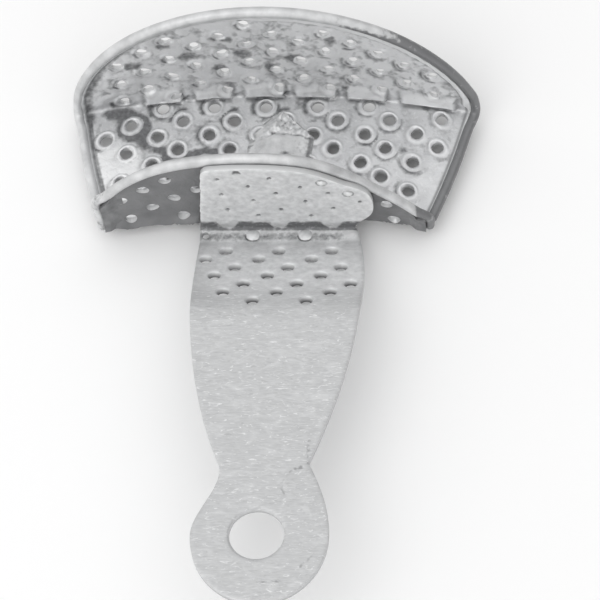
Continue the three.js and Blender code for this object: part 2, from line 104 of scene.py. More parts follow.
FOOT_RADIUS = 0.5
SHELF = 1.2
RISE_RADIUS = 1.5
RISE_ANGLE = 30.0
RISE = 14.0
CREST_RADIUS = 9.0
GRIP_ANGLE = 4.0
HANDLE_LENGTH = 60.5
HANDLE_CENTRE = 2.35
BEND_LEFT = -8.65
BEND_RIGHT = 11.95
BELLY_SWELL = 2.3
CREST_SWELL = 3.3
WAIST_SWELL = 0.4
NECK_HALF = 5.7
NECK_TO_END = 19.7
RING_HALF = 8.67
RING_LENGTH_HALF = 9.5
RING_BORE = 6.9
BORE_SHIFT = (-0.35, 0.1)
TAB_LEFT = -7.4
TAB_RIGHT = 14.7
TAB_PROUD = 0.15
TAB_CORNER = 1.8
TAB_SHOULDER = 3.4
TAB_WAIST = 6.5
TAB_BACK_Y = -10.55
HANDLE_END_Y = FRONT_Y - HANDLE_LENGTH

# ---- Detail that only the looks have ----

PATTERN_STEP = 0.42  # spacing of a flat pattern's inner points
RING_CLEARANCE = 0.12  # least distance of a ring's points from the pattern's outline
HOLE_STEPS = 26  # points round a hole, and round the ring's bore
BORE_STEPS = 72
SHARP_ANGLE = 42.0  # edges that turn more than this stay sharp
CHAMFER = 0.1  # worn edge of the sheets
INTO_WIRE = 0.45  # wire centre to the visible sheet's edge, which runs on into the solder
WIRE_SIDES = 20
WIRE_STEPS = 9  # rings between two of the wire's route points
ARCH_SAG = 0.3  # how far the outer wire's arch hangs below its ellipse at the top
OUTER_SOLDER = 0.14  # solder on the outer wire at the top of its arch
NEAR_SOLDER = 0.12  # and on the near wire

BURR_HOLE = 0.82  # a trough hole's radius inside its burr
HOLE_SHAPES = ((1.0, 0.035), (1.0, 0.05), (0.84, 0.11))  # on floor, low and tall wall: size and raggedness
HOLE_RINGS = (0.88, 0.97, 1.08, 1.2, 1.34, 1.48, 1.62, 1.78)  # radii of the points round a trough hole
EDGE_RINGS = (0.14, 0.28, 0.42, 0.56, 0.72, 0.9, 1.1, 1.3)  # distances of the points along the trough's edge
LIP = 0.25  # height of the burr that the punch raised round each trough hole
LIP_RADIUS = 1.16  # where the burr is highest
LIP_REACH = 1.6  # radius at which it meets the flat sheet
RIM_FILLET = 0.42  # height of the solder that fills the angle beside the rim wire
LOW_EDGE_SWELL = 0.65  # how far the low wall's fold stands out to the left of the tab

# Bars that the bend raised along the tall wall's foot; the last is longer and further from the others
BARS = range(-4, 2)
BAR_X = 12.9  # middle of bar 0
BAR_PITCH = 6.9
BAR_HALF = 2.5
BAR_HEIGHT = 3.6
LAST_BAR_SHIFT = 1.45
LAST_BAR_GROWTH = 1.25
BAR_FOOT = 0.62  # how far a bar stands out at its foot, and at its top
BAR_TOP = 0.18

# Dark blots on the tall wall, most of them between two holes of a row: middle x and z, half width, half
# height
WALL_BLOTS = (
    (-18.0, 10.5, 1.5, 1.1),
    (-10.5, 11.3, 1.4, 1.0),
    (-3.2, 11.3, 1.4, 1.1),
    (-13.5, 14.3, 1.0, 0.9),
    (-6.5, 7.8, 1.2, 0.8),
    (0.5, 7.7, 1.2, 0.9),
    (3.8, 10.0, 1.7, 1.0),
    (8.8, 14.8, 0.8, 1.6),
    (-5.0, 15.0, 1.0, 0.8),
)
POOL = (-18.93, 4.61)  # the floor's hole that the darkest pool of soot runs round
POOL_TAIL = ((-17.6, 2.2), (-14.0, 0.4))
POOL_BAND = (-20.5, 6.4)

SIDE_HOLE = 0.5  # radius of the small hole at the shelf's left edge
TAB_LUMPS = ((8.3, 11.3), (11.6, 8.5))  # drops of solder on the tab, in x and height above its foot
TAB_OVAL = (-2.6, 15.3)  # a hollow in the tab, in x and height above the floor
# Scratches near the ring: the arc's centre from the ring's, its radius, and its ends in degrees
RING_SCRATCHES = (
    ((5.1, 7.0), 2.6, 105.0, 215.0),
    ((25.0, 11.5), 19.5, 172.0, 187.0),
    ((0.5, 0.6), 7.0, -50.0, -25.0),
    ((1.5, -14.0), 7.5, 78.0, 102.0),
)
SCRATCH_BLOT = (4.7, 9.5)

# Knobs of solder that froze on the floor: x, y, height and width
FLOOR_KNOBS = (
    (3.2, 3.2, 0.55, 0.35),
    (2.2, 3.3, 0.5, 0.35),
    (2.6, 4.2, 0.5, 0.35),
    (4.8, 2.8, 0.5, 0.5),
    (1.6, 5.9, 0.6, 0.4),
    (0.9, 4.4, 0.35, 0.4),
)
FILLED_HOLE = (2.07, BACK_Y - 4.7)  # the floor's hole that the solder ran into
SOLDER_DIP = 0.25  # how deep a solder mesh starts under the sheet's face
CORNER_REACH = 2.3  # how far the corner solder spreads along the low wall
CORNER_THICKNESS = 0.72


# ---- Small helpers ----


def lerp(a, b, share):
    return a + (b - a) * share


def smooth(value, low, high):
    """0 below low, 1 above high, smooth between; works on arrays."""
    share = np.clip((value - low) / (high - low), 0.0, 1.0)
    return share * share * (3.0 - 2.0 * share)


def fade(value, low, high):
    return 1 - smooth(value, low, high)


def hump(value, centre, width):
    """A bell: 1 at the centre, and small beyond twice the width."""
    return np.exp(-(((value - centre) / width) ** 2))


def noise_at(places, scale, seed):
    """Smooth noise from -1 to 1 at (N, 2) or (N, 3) places, with features about `scale` across."""
    spots = np.zeros((len(places), 3))
    spots[:, : places.shape[1]] = places / scale
    spots += seed * 17.3
    return np.array([noise.noise(Vector(spot)) for spot in spots])


def away_from(points, centre):
    return np.linalg.norm(points - centre, axis=1)


def resample(points, step):
    """Points about `step` apart along a polyline, its own first and last points included."""
    points = np.asarray(points, dtype=float)
    lengths = np.r_[0.0, np.cumsum(np.linalg.norm(np.diff(points, axis=0), axis=1))]
    count = max(2, int(round(lengths[-1] / step)) + 1)
    wanted = np.linspace(0.0, lengths[-1], count)
    return np.stack([np.interp(wanted, lengths, points[:, i]) for i in range(points.shape[1])], axis=1)


def closed(loop, step):
    """Points about `step` apart round a closed loop."""
    return resample(np.vstack([loop, loop[:1]]), step)[:-1]


def cubic(a, b, c, d, steps=24):
    """Points of a cubic Bezier curve."""
    t = np.linspace(0.0, 1.0, steps)[:, None]
    a, b, c, d = (np.array(p, dtype=float) for p in (a, b, c, d))
    return (1 - t) ** 3 * a + 3 * (1 - t) ** 2 * t * b + 3 * (1 - t) * t**2 * c + t**3 * d


def inside(places, loop):
    """Which (N, 2) places lie inside a closed loop."""
    found = np.zeros(len(places), dtype=bool)
    x, y = places[:, 0], places[:, 1]
    for (ax, ay), (bx, by) in zip(loop, np.roll(loop, -1, axis=0)):
        if ay != by:
            found ^= ((ay > y) != (by > y)) & (x < (bx - ax) * (y - ay) / (by - ay) + ax)
    return found


def closest(places, targets):
    """For each place the distance, the direction and the number of the closest target."""
    found = []
    for part in np.array_split(places, max(1, len(places) // 2000)):
        gap = part[:, None] - targets[None]
        far = np.sqrt((gap**2).sum(-1))
        number = far.argmin(1)
        row = np.arange(len(part))
        found.append((far[row, number], np.arctan2(gap[row, number, 1], gap[row, number, 0]), number))
    return [np.concatenate(values) for values in zip(*found)]


def nearest(places, targets):
    return closest(places, targets)[0]


def around(steps):
    """The directions of `steps` points round a circle."""
    return np.arange(steps) * 2 * math.pi / steps


def facing(direction, way, low, high):
    """How much a direction turns to one way, as a share of the range of its cosine from low to high."""
    return smooth(np.cos(direction - way), low, high)


def circle(centre, radius, steps=HOLE_STEPS):
    angles = around(steps)
    return np.array(centre) + radius * np.stack([np.cos(angles), np.sin(angles)], axis=1)


def ragged_hole(centre, radius, ragged, number):
    """A circle with soft lobes, whose turn depends on the hole's number."""
    angles = around(HOLE_STEPS)
    lobes = np.sin(2 * angles + 2.1 * number) + 0.7 * np.sin(3 * angles + 4.3 * number)
    return centre + (circle((0, 0), radius) * (1 + ragged * lobes)[:, None])


def notched(outline, centre, radius):
    """A counter-clockwise outline with a circle that crosses it cut out of it."""
    within = away_from(outline, centre) < radius
    if not within.any():
        return outline
    leaves = np.flatnonzero(within & ~np.roll(within, -1))[0]
    kept = np.roll(outline, -leaves - 1, axis=0)
    kept = kept[away_from(kept, centre) >= radius]
    start, end = (math.atan2(*(p - centre)[::-1]) for p in (kept[-1], kept[0]))
    sweep = (start - end) % (2 * math.pi)
    angles = start - np.linspace(0.0, 1.0, HOLE_STEPS)[1:-1] * sweep
    arc = centre + radius * np.stack([np.cos(angles), np.sin(angles)], axis=1)
    return np.vstack([kept, arc])


def outline_normals(outline):
    """The inward direction at each point of an outline that runs counter-clockwise."""
    ahead = np.roll(outline, -1, axis=0) - np.roll(outline, 1, axis=0)
    inward = np.stack([-ahead[:, 1], ahead[:, 0]], axis=1)
    return inward / np.linalg.norm(inward, axis=1)[:, None]


def staggered_rows(fits, start, step, drift=0.0, stagger=0.0, tilt=0.0, fan=0.0, rows=range(-9, 10)):
    """Centres of a staggered perforation: each row shifts by drift, and every other one by stagger too."""
    centres = []
    for row in rows:
        for i in range(-7, 8):
            along = start[0] + ROW_PITCH * i + drift * row + (stagger if row % 2 else 0.0)
            across = start[1] + step * row + (tilt + fan * row) * along
            if fits(along, across):
                centres.append((along, across))
    return centres


# ---- Meshes ----


def add_object(name, data):
    made = bpy.data.objects.new(name, data)
    bpy.context.scene.collection.objects.link(made)
    return made


def new_piece(name, node, slot, material, vertices, faces, marks=None, spots=None):
    """A mesh piece from millimetres that stands for a CAD node.

    Marks are values per face. Spots are values for the first vertices, and the others have 0.
    """
    mesh = bpy.data.meshes.new(name)
    mesh.from_pydata((np.asarray(vertices) * MM).tolist(), [], faces)
    mesh.validate()
    mesh.shade_smooth()
    mesh.set_sharp_from_angle(angle=math.radians(SHARP_ANGLE))
    for label, values in (marks or {}).items():
        mesh.attributes.new(label, "FLOAT", "FACE").data.foreach_set("value", values)
    for label, values in (spots or {}).items():
        values = np.r_[values, np.zeros(len(vertices) - len(values))]
        mesh.attributes.new(label, "FLOAT", "POINT").data.foreach_set("value", values)
    mesh.materials.append(material)
    piece = add_object(name, mesh)
    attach(piece, "root")
    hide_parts(node)


def flat_pattern(outline, holes, extra):
    """Triangles that fill an outline round its holes, with `extra` points inside: (points, triangles)."""
    points = []
    edges = []
    for loop in [outline, *holes]:
        first = len(points)
        points.extend(Vector(p) for p in loop)
        edges.extend((first + i, first + (i + 1) % len(loop)) for i in range(len(loop)))
    points.extend(Vector(p) for p in extra)
    found, _, triangles, _, _, _ = delaunay_2d_cdt(points, edges, [], 0, 1e-5)
    assert len(found) == len(points)
    found = np.array([tuple(p) for p in found])
    triangles = np.array(triangles)
    middles = found[triangles].mean(axis=1)
    keep = inside(middles, outline)
    for loop in holes:
        centre = loop.mean(axis=0)
        near = away_from(middles, centre) < 1.01 * away_from(loop, centre).max()
        keep[near] &= ~inside(middles[near], loop)
    triangles = triangles[keep]
    a, b, c = (found[triangles[:, i]] for i in range(3))
    area = (b[:, 0] - a[:, 0]) * (c[:, 1] - a[:, 1]) - (b[:, 1] - a[:, 1]) * (c[:, 0] - a[:, 0])
    triangles[area < 0] = triangles[area < 0][:, ::-1]
    return found, triangles[np.abs(area) > 1e-9]


def pattern_points(outline, holes, rings):
    """Points to fill a pattern with: those on the rings, and a staggered lattice clear of them."""
    step = PATTERN_STEP
    low, high = outline.min(axis=0), outline.max(axis=0)
    lattice = []
    for i, y in enumerate(np.arange(low[1], high[1], step * math.sqrt(3) / 2)):
        lattice += [(x, y) for x in np.arange(low[0] + (i % 2) * step / 2, high[0], step)]
    edge = closed(outline, step / 2)

    def fitting(spots, clear):
        spots = spots[inside(spots, outline)]
        spots = spots[nearest(spots, edge) > clear]
        for loop in holes:
            centre = loop.mean(axis=0)
            spots = spots[away_from(spots, centre) > away_from(loop, centre).max() + 0.02]
        return spots

    on_rings = fitting(np.vstack(rings), RING_CLEARANCE)
    between = fitting(np.array(lattice), 0.75 * step)
    for others in (on_rings, np.vstack([edge, *holes])):
        between = between[nearest(between, others) > 0.5 * step]
    return np.vstack([on_rings, between])


def thick_sheet(points, triangles, face_at, back_at):
    """A closed sheet from a flat pattern: vertices, faces, and marks for its back and its cut edges."""
    count = len(points)
    vertices = np.vstack([face_at(points), back_at(points)])
    faces = triangles.tolist() + (triangles[:, ::-1] + count).tolist()
    directed = {(a, b) for t in triangles.tolist() for a, b in zip(t, t[1:] + t[:1])}
    rim = [(a, b) for a, b in directed if (b, a) not in directed]
    faces += [(a + count, b + count, b, a) for a, b in sorted(rim)]
    flat = len(triangles)
    marks = {
        "underside": np.r_[np.zeros(flat), np.ones(flat), np.zeros(len(rim))],
        "cut_edge": np.r_[np.zeros(2 * flat), np.ones(len(rim))],
    }
    return vertices, faces, marks


def quads(numbers):
    """The faces of a grid of vertex numbers."""
    corners = numbers[:-1, :-1], numbers[1:, :-1], numbers[1:, 1:], numbers[:-1, 1:]
    return np.stack(corners, axis=-1).reshape(-1, 4).tolist()


def catmull(points, steps):
    """A smooth centripetal curve through points, with `steps` places between two of them."""
    p = [np.array(q, dtype=float) for q in points]
    p = [2 * p[0] - p[1], *p, 2 * p[-1] - p[-2]]
    places = []
    for i in range(1, len(p) - 2):
        a, b, c, d = p[i - 1 : i + 3]
        gaps = [max(np.linalg.norm(v - u) ** 0.5, 1e-4) for u, v in ((a, b), (b, c), (c, d))]
        start = (b - a) / gaps[0] - (c - a) / (gaps[0] + gaps[1]) + (c - b) / gaps[1]
        end = (c - b) / gaps[1] - (d - b) / (gaps[1] + gaps[2]) + (d - c) / gaps[2]
        pull = gaps[1] / 3
        places.append(cubic(b, b + pull * start, c - pull * end, c, steps + 1)[:-1])
    return np.vstack([*places, p[-2]])


def tube(route, radii, seed):
    """A slightly uneven wire along a route, with rounded ends: vertices, faces and each vertex's way out."""
    tangents = np.gradient(route, axis=0)
    tangents /= np.linalg.norm(tangents, axis=1)[:, None]
    normal = np.cross(tangents[0], (0.3, 0.9, 0.1))
    wobble = noise_at(route, 3.0, seed) * 0.02 + noise_at(route, 0.9, seed + 1) * 0.008
    angles = around(WIRE_SIDES)
    ways_out = []
    for tangent, radius, change in zip(tangents, radii, wobble):
        normal = normal - tangent * normal.dot(tangent)
        normal /= np.linalg.norm(normal)
        across = np.cross(tangent, normal)
        way_out = np.outer(np.cos(angles), normal) + np.outer(np.sin(angles), across)
        ways_out.append(way_out * radius * (1 + change))
    rings = [centre + way_out for centre, way_out in zip(route, ways_out)]
    ends = []
    for i, outward in ((0, -tangents[0]), (-1, tangents[-1])):
        spread, reach = rings[i] - route[i], radii[i] * outward
        ends.append([route[i] + spread * math.cos(a) + reach * math.sin(a) for a in (0.5, 1.0, 1.35)])
    dome = len(ends[0])
    ways_out = [ways_out[0]] * dome + ways_out + [ways_out[-1]] * dome
    rings = ends[0][::-1] + rings + ends[1]
    numbers = np.arange(len(rings) * WIRE_SIDES).reshape(-1, WIRE_SIDES)
    faces = quads(np.c_[numbers, numbers[:, 0]].T) + [numbers[0, ::-1].tolist(), numbers[-1].tolist()]
    return np.vstack(rings), faces, np.vstack(ways_out)


def grid(rows, columns):
    """Two grids of shares from 0 to 1, that grow along the rows and along the columns."""
    return np.meshgrid(np.linspace(0, 1, rows), np.linspace(0, 1, columns), indexing="ij")


def grid_noise(a, b, scale, seed):
    """Noise at the places (a, b) of two grids."""
    return noise_at(np.stack([a.ravel(), b.ravel()], axis=1), scale, seed).reshape(a.shape)


def grid_solid(top, bottom):
    """The closed solid between two grids of points of one size: vertices and faces."""
    count = top[..., 0].size
    numbers = np.arange(count).reshape(top.shape[:2])
    rim = np.r_[numbers[:, 0], numbers[-1, 1:], numbers[-2::-1, -1], numbers[0, -2::-1]]
    faces = quads(numbers) + quads(numbers.T + count) + quads(np.stack([rim, rim + count]))
    return np.vstack([top.reshape(-1, 3), bottom.reshape(-1, 3)]), faces


# ---- Materials ----


def node(tree, kind, inputs=None, **settings):
    """A shader node with its settings and inputs; an input that is a socket is linked."""
    made = tree.nodes.new("ShaderNode" + kind)
    for key, value in settings.items():
        setattr(made, key, value)
    for key, value in (inputs or {}).items():
        if isinstance(value, bpy.types.NodeSocket):
            tree.links.new(value, made.inputs[key])
        else:
            made.inputs[key].default_value = value
    return made


def noise_map(tree, scale, detail=2.0, stretch=(1, 1, 1), distortion=0.0):
    """A noise value whose features are about `scale` millimetres, times `stretch` along each axis."""
    place = node(tree, "TexCoord").outputs["Object"]
    sizes = [1 / (scale * s * MM) for s in stretch]
    spot = node(tree, "Mapping", {"Vector": place, "Scale": sizes}).outputs[0]
    settings = {"Vector": spot, "Scale": 1.0, "Detail": detail, "Distortion": distortion}
    return node(tree, "TexNoise", settings).outputs[0]


def remap(tree, value, low, high, start=0.3, end=0.7):
    """`value` from start..end turned into low..high, and held there beyond them."""
    inputs = {"Value": value, "From Min": start, "From Max": end, "To Min": low, "To Max": high}
    return node(tree, "MapRange", inputs).outputs[0]


def mottle(tree, low, high, scale, detail=3.0, start=0.3, end=0.7, **shape):
    """Noise of a scale in millimetres, spread over low..high."""
    return remap(tree, noise_map(tree, scale, detail, **shape), low, high, start, end)


def math_of(tree, operation, a, b):
    return node(tree, "Math", {0: a, 1: b}, operation=operation).outputs[0]


def tone(value):
    """A slightly cool grey of a level from 0 to 1; a colour or a socket stays as it is."""
    if not isinstance(value, float):
        return value
    green = value + (0.005 if value > 0.3 else 0.002)
    return (value, green, green + 0.005, 1)


def tones(tree, value, dark, light):
    """A colour between two, by a value from 0 to 1."""
    ramp = node(tree, "ValToRGB", {"Fac": value})
    ramp.color_ramp.elements[0].color = tone(dark)
    ramp.color_ramp.elements[1].color = tone(light)
    return ramp.outputs[0]


def layered(tree, colour, *layers):
    """A colour under layers of others, each a (share, colour)."""
    for share, above in layers:
        colour = node(tree, "Mix", {0: share, 6: colour, 7: tone(above)}, data_type="RGBA").outputs[2]
    return colour


def marked(tree, label):
    return node(tree, "Attribute", attribute_name=label).outputs["Fac"]


def ragged_mark(tree, label, scale, spread, most, start, end):
    """A mark whose border noise makes ragged, as a share of at most `most`."""
    noisy = math_of(tree, "ADD", marked(tree, label), mottle(tree, -spread, spread, scale))
    return remap(tree, noisy, 0.0, most, start, end)


def bumped(tree, height, distance, below=None):
    """A bump of `distance` millimetres; `below` is the normal of a bump that it sits on."""
    inputs = {"Height": height, "Strength": 1.0, "Distance": distance * MM}
    if below is not None:
        inputs["Normal"] = below
    return node(tree, "Bump", inputs).outputs[0]


def new_material(name):
    """An empty material and its node tree."""
    material = bpy.data.materials.new(name)
    material.use_nodes = True
    material.node_tree.nodes.clear()
    return material, material.node_tree


def finish_metal(tree, metallic, colour, roughness, normal):
    inputs = {"Base Color": colour, "Metallic": metallic, "Roughness": roughness, "Normal": normal}
    shader = node(tree, "BsdfPrincipled", inputs)
    node(tree, "OutputMaterial", {"Surface": shader.outputs[0]})


def polished_steel():
    """The trough's sheet: bright and uneven inside, with stains, painted shade and painted highlights; duller
    outside, and darker there from painted shade and dark reflection; with cut edges worn bright.
    """
    material, tree = new_material("polished_sheet")
    cloud = mottle(tree, 0.0, 1.0, 4.0, 4.0)
    soot_and_painted_shade = tones(tree, mottle(tree, 0.0, 1.0, 0.5, 2.0), 0.11, 0.21)
    colour = layered(
        tree,
        tones(tree, cloud, (0.58, 0.585, 0.595, 1), (0.76, 0.765, 0.775, 1)),
        (mottle(tree, 0.0, 0.6, 0.6, start=0.55), (0.80, 0.805, 0.815, 1)),
        # Painted highlights: on the burrs' crests, the bars and the fillet by the wires, in spots on the tall
        # wall and faintly over all of it; the floor's left front corner is lighter too
        (marked(tree, "burr_and_painted_highlight"), 0.93),
        # Stains, and painted shade: in the waves' hollows, behind the low wall, in creases and corners, above
        # the bars and round the holes
        (ragged_mark(tree, "stain_and_painted_shade", 0.7, 0.2, 0.95, 0.14, 0.86), soot_and_painted_shade),
        # Painted shade in the creases: the burrs' moats, under the bars and at the fillet's foot
        (math_of(tree, "MULTIPLY", marked(tree, "painted_crease_shade"), 0.85), 0.15),
        # The outside faces' dark colour is painted shade and dark reflection
        (marked(tree, "underside"), tones(tree, cloud, 0.17, 0.25)),
        (marked(tree, "cut_edge"), 0.62),
    )
    duller = math_of(tree, "MULTIPLY", marked(tree, "underside"), 0.14)
    roughness = math_of(tree, "ADD", mottle(tree, 0.30, 0.44, 2.2, 4.0), duller)
    dents = bumped(tree, noise_map(tree, 1.0, 3.0, distortion=0.6), 0.10)
    normal = bumped(tree, noise_map(tree, 0.18, stretch=(7, 1, 1)), 0.004, dents)
    finish_metal(tree, 0.45, colour, roughness, normal)
    return material


def wire_steel():
    """Drawn wire, buffed by hand: satin, with a mottled dark colour that is tarnish and painted shade."""
    material, tree = new_material("rim_wire")
    clean = tones(tree, mottle(tree, 0.0, 1.0, 1.8, 4.0), 0.53, 0.72)
    colour = layered(tree, clean, (ragged_mark(tree, "tarnish_and_painted_shade", 0.8, 0.35, 0.9, 0.3, 0.8), 0.17))
    dents = bumped(tree, noise_map(tree, 1.1), 0.03)
    normal = bumped(tree, noise_map(tree, 0.12, stretch=(5, 1, 1)), 0.004, dents)
    finish_metal(tree, 0.5, colour, mottle(tree, 0.36, 0.50, 0.7), normal)
    return material


def brushed_steel():
    """The handle's sheet: frosted, with bright nicks and arcs, dark dirt in its scratches, and painted shade
    in its pits, hollows and bends and down its holes' walls.
    """
    material, tree = new_material("handle_sheet")
    colour = layered(
        tree,
        tones(tree, mottle(tree, 0.0, 1.0, 0.2, stretch=(6, 1, 1), distortion=0.5), 0.52, 0.62),
        (mottle(tree, 0.0, 0.55, 1.3, start=0.52, end=0.72, stretch=(2, 1, 1), distortion=1.0), 0.71),
        (mottle(tree, 0.0, 0.8, 0.38, 2.0, 0.6, 0.72, stretch=(3, 1, 1), distortion=1.5), 0.84),
        (mottle(tree, 0.5, 0.0, 0.42, 2.0, 0.26, 0.36, stretch=(3.5, 1, 1), distortion=1.0), 0.42),
        (marked(tree, "frost"), tones(tree, mottle(tree, 0.0, 1.0, 0.8), 0.68, 0.88)),
        # Dirt in a blot and the scratches near the ring; painted shade in the foot's bend, at the rise's
        # foot, in the pits and the hollow, and round the lumps and the shelf's domes
        (ragged_mark(tree, "soot_and_painted_shade", 0.5, 0.2, 0.9, 0.22, 0.82), 0.13),
        # The cut edges darken towards the sheet's back: painted shade down the holes' walls
        (marked(tree, "cut_edge"), tones(tree, marked(tree, "depth"), 0.66, (0.06, 0.061, 0.063, 1))),
    )
    waves = bumped(tree, noise_map(tree, 2.6, 3.0, distortion=1.0), 0.06)
    arcs = bumped(tree, noise_map(tree, 0.7, stretch=(2.5, 1, 1), distortion=1.6), 0.03, waves)
    normal = bumped(tree, noise_map(tree, 0.16, 3.0, stretch=(7, 1, 1)), 0.006, arcs)
    finish_metal(tree, 0.55, colour, mottle(tree, 0.46, 0.60, 0.2, stretch=(7, 1, 1)), normal)
    return material


def solder_metal(name, dark, light):
    """Solder, in a dark and a light grey: smooth where it flowed and frosted where it froze."""
    material, tree = new_material(name)
    clean = tones(tree, mottle(tree, 0.0, 1.0, 1.3, 4.0), dark, light)
    # The dark layer is painted shade on the floor solder's sides, slopes and hollows and behind its dome,
    # with a dark smudge
    colour = layered(tree, clean, (ragged_mark(tree, "dirt_and_painted_shade", 0.6, 0.2, 0.9, 0.25, 0.8), 0.15))
    lumps = bumped(tree, noise_map(tree, 0.9, 3.0), 0.05)
    normal = bumped(tree, noise_map(tree, 0.15), 0.006, lumps)
    finish_metal(tree, 0.5, colour, mottle(tree, 0.34, 0.52, 1.2), normal)
    return material


# ---- Trough ----

fold_length = (FOLD - SHEET / 2) * math.pi / 2


def front_face(x):
    bent = np.maximum(0.0, (np.abs(x) - FRONT_FLAT) / (FRONT_HALF - FRONT_FLAT))
    return FRONT_Y - FRONT_SWEEP * bent**1.8


def back_face(x):
    return BACK_Y - BACK_SWEEP * ((x - BACK_SHIFT) / BACK_HALF) ** 2


def rim_height(rim, x, inset=0.0):
    """Height of a rim's centre line at x, or of the line `inset` inside it."""
    height = rim["height"] / 4
    for _ in range(12):
        across = min(1.0, abs(x - rim["centre"] + rim["lean"] * height) / (rim["half"] - inset))
        height = (rim["height"] - inset) * math.sqrt(1 - across * across)
    if "slope" not in rim:
        return height
    slope = rim["slope"]
    line = slope["height"] - slope["fall"] * (x - slope["x"]) - inset * math.hypot(1, slope["fall"])
    return -slope["blend"] * math.log(math.exp(-height / slope["blend"]) + math.exp(-line / slope["blend"]))


def floor_depth(x):
    """Length of the flat floor between the two folds."""
    return back_face(x) - front_face(x) - 2 * FOLD


def floor_side(side, shares, out):
    """Places `out` beyond the floor's left (-1) or right (1) edge, by shares of the way to the tall wall."""
    front = np.array([side * FRONT_HALF, front_face(FRONT_HALF)])
    back = np.array([BACK_SHIFT + side * BACK_HALF, back_face(BACK_SHIFT + BACK_HALF)])
    plan = front + (back - front) * shares[:, None]
    plan[:, 0] += side * (SIDE_BULGE * 4 * shares * (1 - shares) + out)
    return plan


# A place on the unfolded sheet is (x, t): t is 0 at the top of the low wall's fold and grows towards the tall
# wall's top. These turn a place on one of the three panels into it.


def from_low_wall(x, z):
    return np.stack([x, FOLD - z], axis=-1)


def from_floor(x, y):
    return np.stack([x, fold_length + y - front_face(x) - FOLD], axis=-1)


def from_tall_wall(x, z):
    return np.stack([x, 2 * fold_length + floor_depth(x) + z - FOLD], axis=-1)


def fold_trough(places, inset, near_square=0.0):
    """The unfolded sheet's places folded up, `inset` from the outside; the near fold may be squarer."""
    x, t = places.T
    front, back, depth = front_face(x), back_face(x), floor_depth(x)
    radius = FOLD - inset
    near_turn = np.clip(t / fold_length, 0, 1) * math.pi / 2
    far_turn = np.clip((t - fold_length - depth) / fold_length, 0, 1) * math.pi / 2
    near = t < fold_length
    far = t > fold_length + depth
    y = front + FOLD + np.clip(t - fold_length, 0, depth)
    z = inset * np.ones_like(x)
    corner = (np.cos(near_turn) ** 6 + np.sin(near_turn) ** 6) ** (-1 / 6)
    near_radius = radius * lerp(1.0, corner, near_square)
    y = np.where(near, front + FOLD - near_radius * np.cos(near_turn), y)
    z = np.where(near, FOLD - near_radius * np.sin(near_turn) + np.maximum(0, -t), z)
    y = np.where(far, back - FOLD + radius * np.sin(far_turn), y)
    z = np.where(far, FOLD - radius * np.cos(far_turn) + np.maximum(0, t - 2 * fold_length - depth), z)
    return np.stack([x, y, z], axis=1)


def trough_outline():
    """The unfolded trough's outline. Its edges run on into the wires, as soldered sheet does."""
    half = FRONT_HALF + 0.25
    xs = np.linspace(-half, half, 90)
    low = [(x, FOLD - max(rim_height(FRONT_RIM, x, INTO_WIRE), FRONT_END_HEIGHT)) for x in xs]
    shares = np.linspace(0.06, 0.95, 40)
    left, right = (from_floor(*floor_side(side, shares, WIRE_SEAT - INTO_WIRE).T) for side in (-1, 1))
    xs = np.linspace(right[-1, 0], left[-1, 0], 120)
    tops = np.array([max(rim_height(BACK_RIM, x, INTO_WIRE), FOLD) for x in xs])
    return np.vstack([low, right, from_tall_wall(xs, tops), left[::-1]])


def trough_holes():
    """The perforation's centres on each panel, as (to_sheet, centres)."""
    clear = FOLD + 0.1

    def on_floor(x, y):
        share = (y - front_face(x)) / (back_face(x) - front_face(x))
        half = lerp(FRONT_HALF, BACK_HALF, share) - EDGE_MARGIN
        between = front_face(x) + clear < y < back_face(x) - clear
        return between and abs(x - BACK_SHIFT * share) < half

    def on_low_wall(x, z):
        top = max(FRONT_END_HEIGHT, rim_height(FRONT_RIM, x, WIRE_SEAT))
        return abs(x) < FRONT_HALF - 1.8 and clear < z < top - EDGE_MARGIN + 0.4

    def on_tall_wall(x, z):
        top = rim_height(BACK_RIM, x, WIRE_SEAT)
        return abs(x - BACK_SHIFT) < BACK_HALF - 2 and clear < z < top - EDGE_MARGIN

    floor = staggered_rows(on_floor, **FLOOR_ROWS)
    floor = [(x, y - FLOOR_SAG * float(smooth(-x, 12.0, 21.0))) for x, y in floor]
    low = staggered_rows(on_low_wall, **LOW_WALL_ROWS)
    tall = staggered_rows(on_tall_wall, **TALL_WALL_ROWS)
    return [(from_floor, floor), (from_low_wall, low), (from_tall_wall, tall)]


def fold_bars(points):
    """Where the bend raised a bar above each hole of its nearest row, and the crease under each bar."""
    bars = np.zeros(len(points))
    creases = np.zeros(len(points))
    x, t = points.T
    up = t - fold_length - floor_depth(x) + 0.10 * noise_at(points, 1.6, 51)
    ragged_x = x + 0.25 * noise_at(points, 1.1, 52)
    ragged_top = 0.5 * noise_at(points, 1.8, 53)
    for i in BARS:
        last = i == BARS[-1]
        middle = BAR_X + BAR_PITCH * i + LAST_BAR_SHIFT * last
        half = BAR_HALF + 0.15 * math.sin(5 * i) + LAST_BAR_GROWTH * last
        off = np.abs(ragged_x - middle)
        across = fade(off, half - 0.15, half + 0.2)
        top = BAR_HEIGHT + 0.5 * math.sin(3 * i + 1) + ragged_top
        bars = np.maximum(bars, across * smooth(up, 0.05, 0.3) * fade(up, top - 0.7, top + 0.3))
        under = across * hump(up, -0.12, 0.3)
        beside = 0.75 * hump(off, half + 0.35, 0.3) * smooth(up, -0.2, 0.4) * fade(up, 2.6, 4.2)
        creases = np.maximum.reduce([creases, under, beside])
    return bars, creases


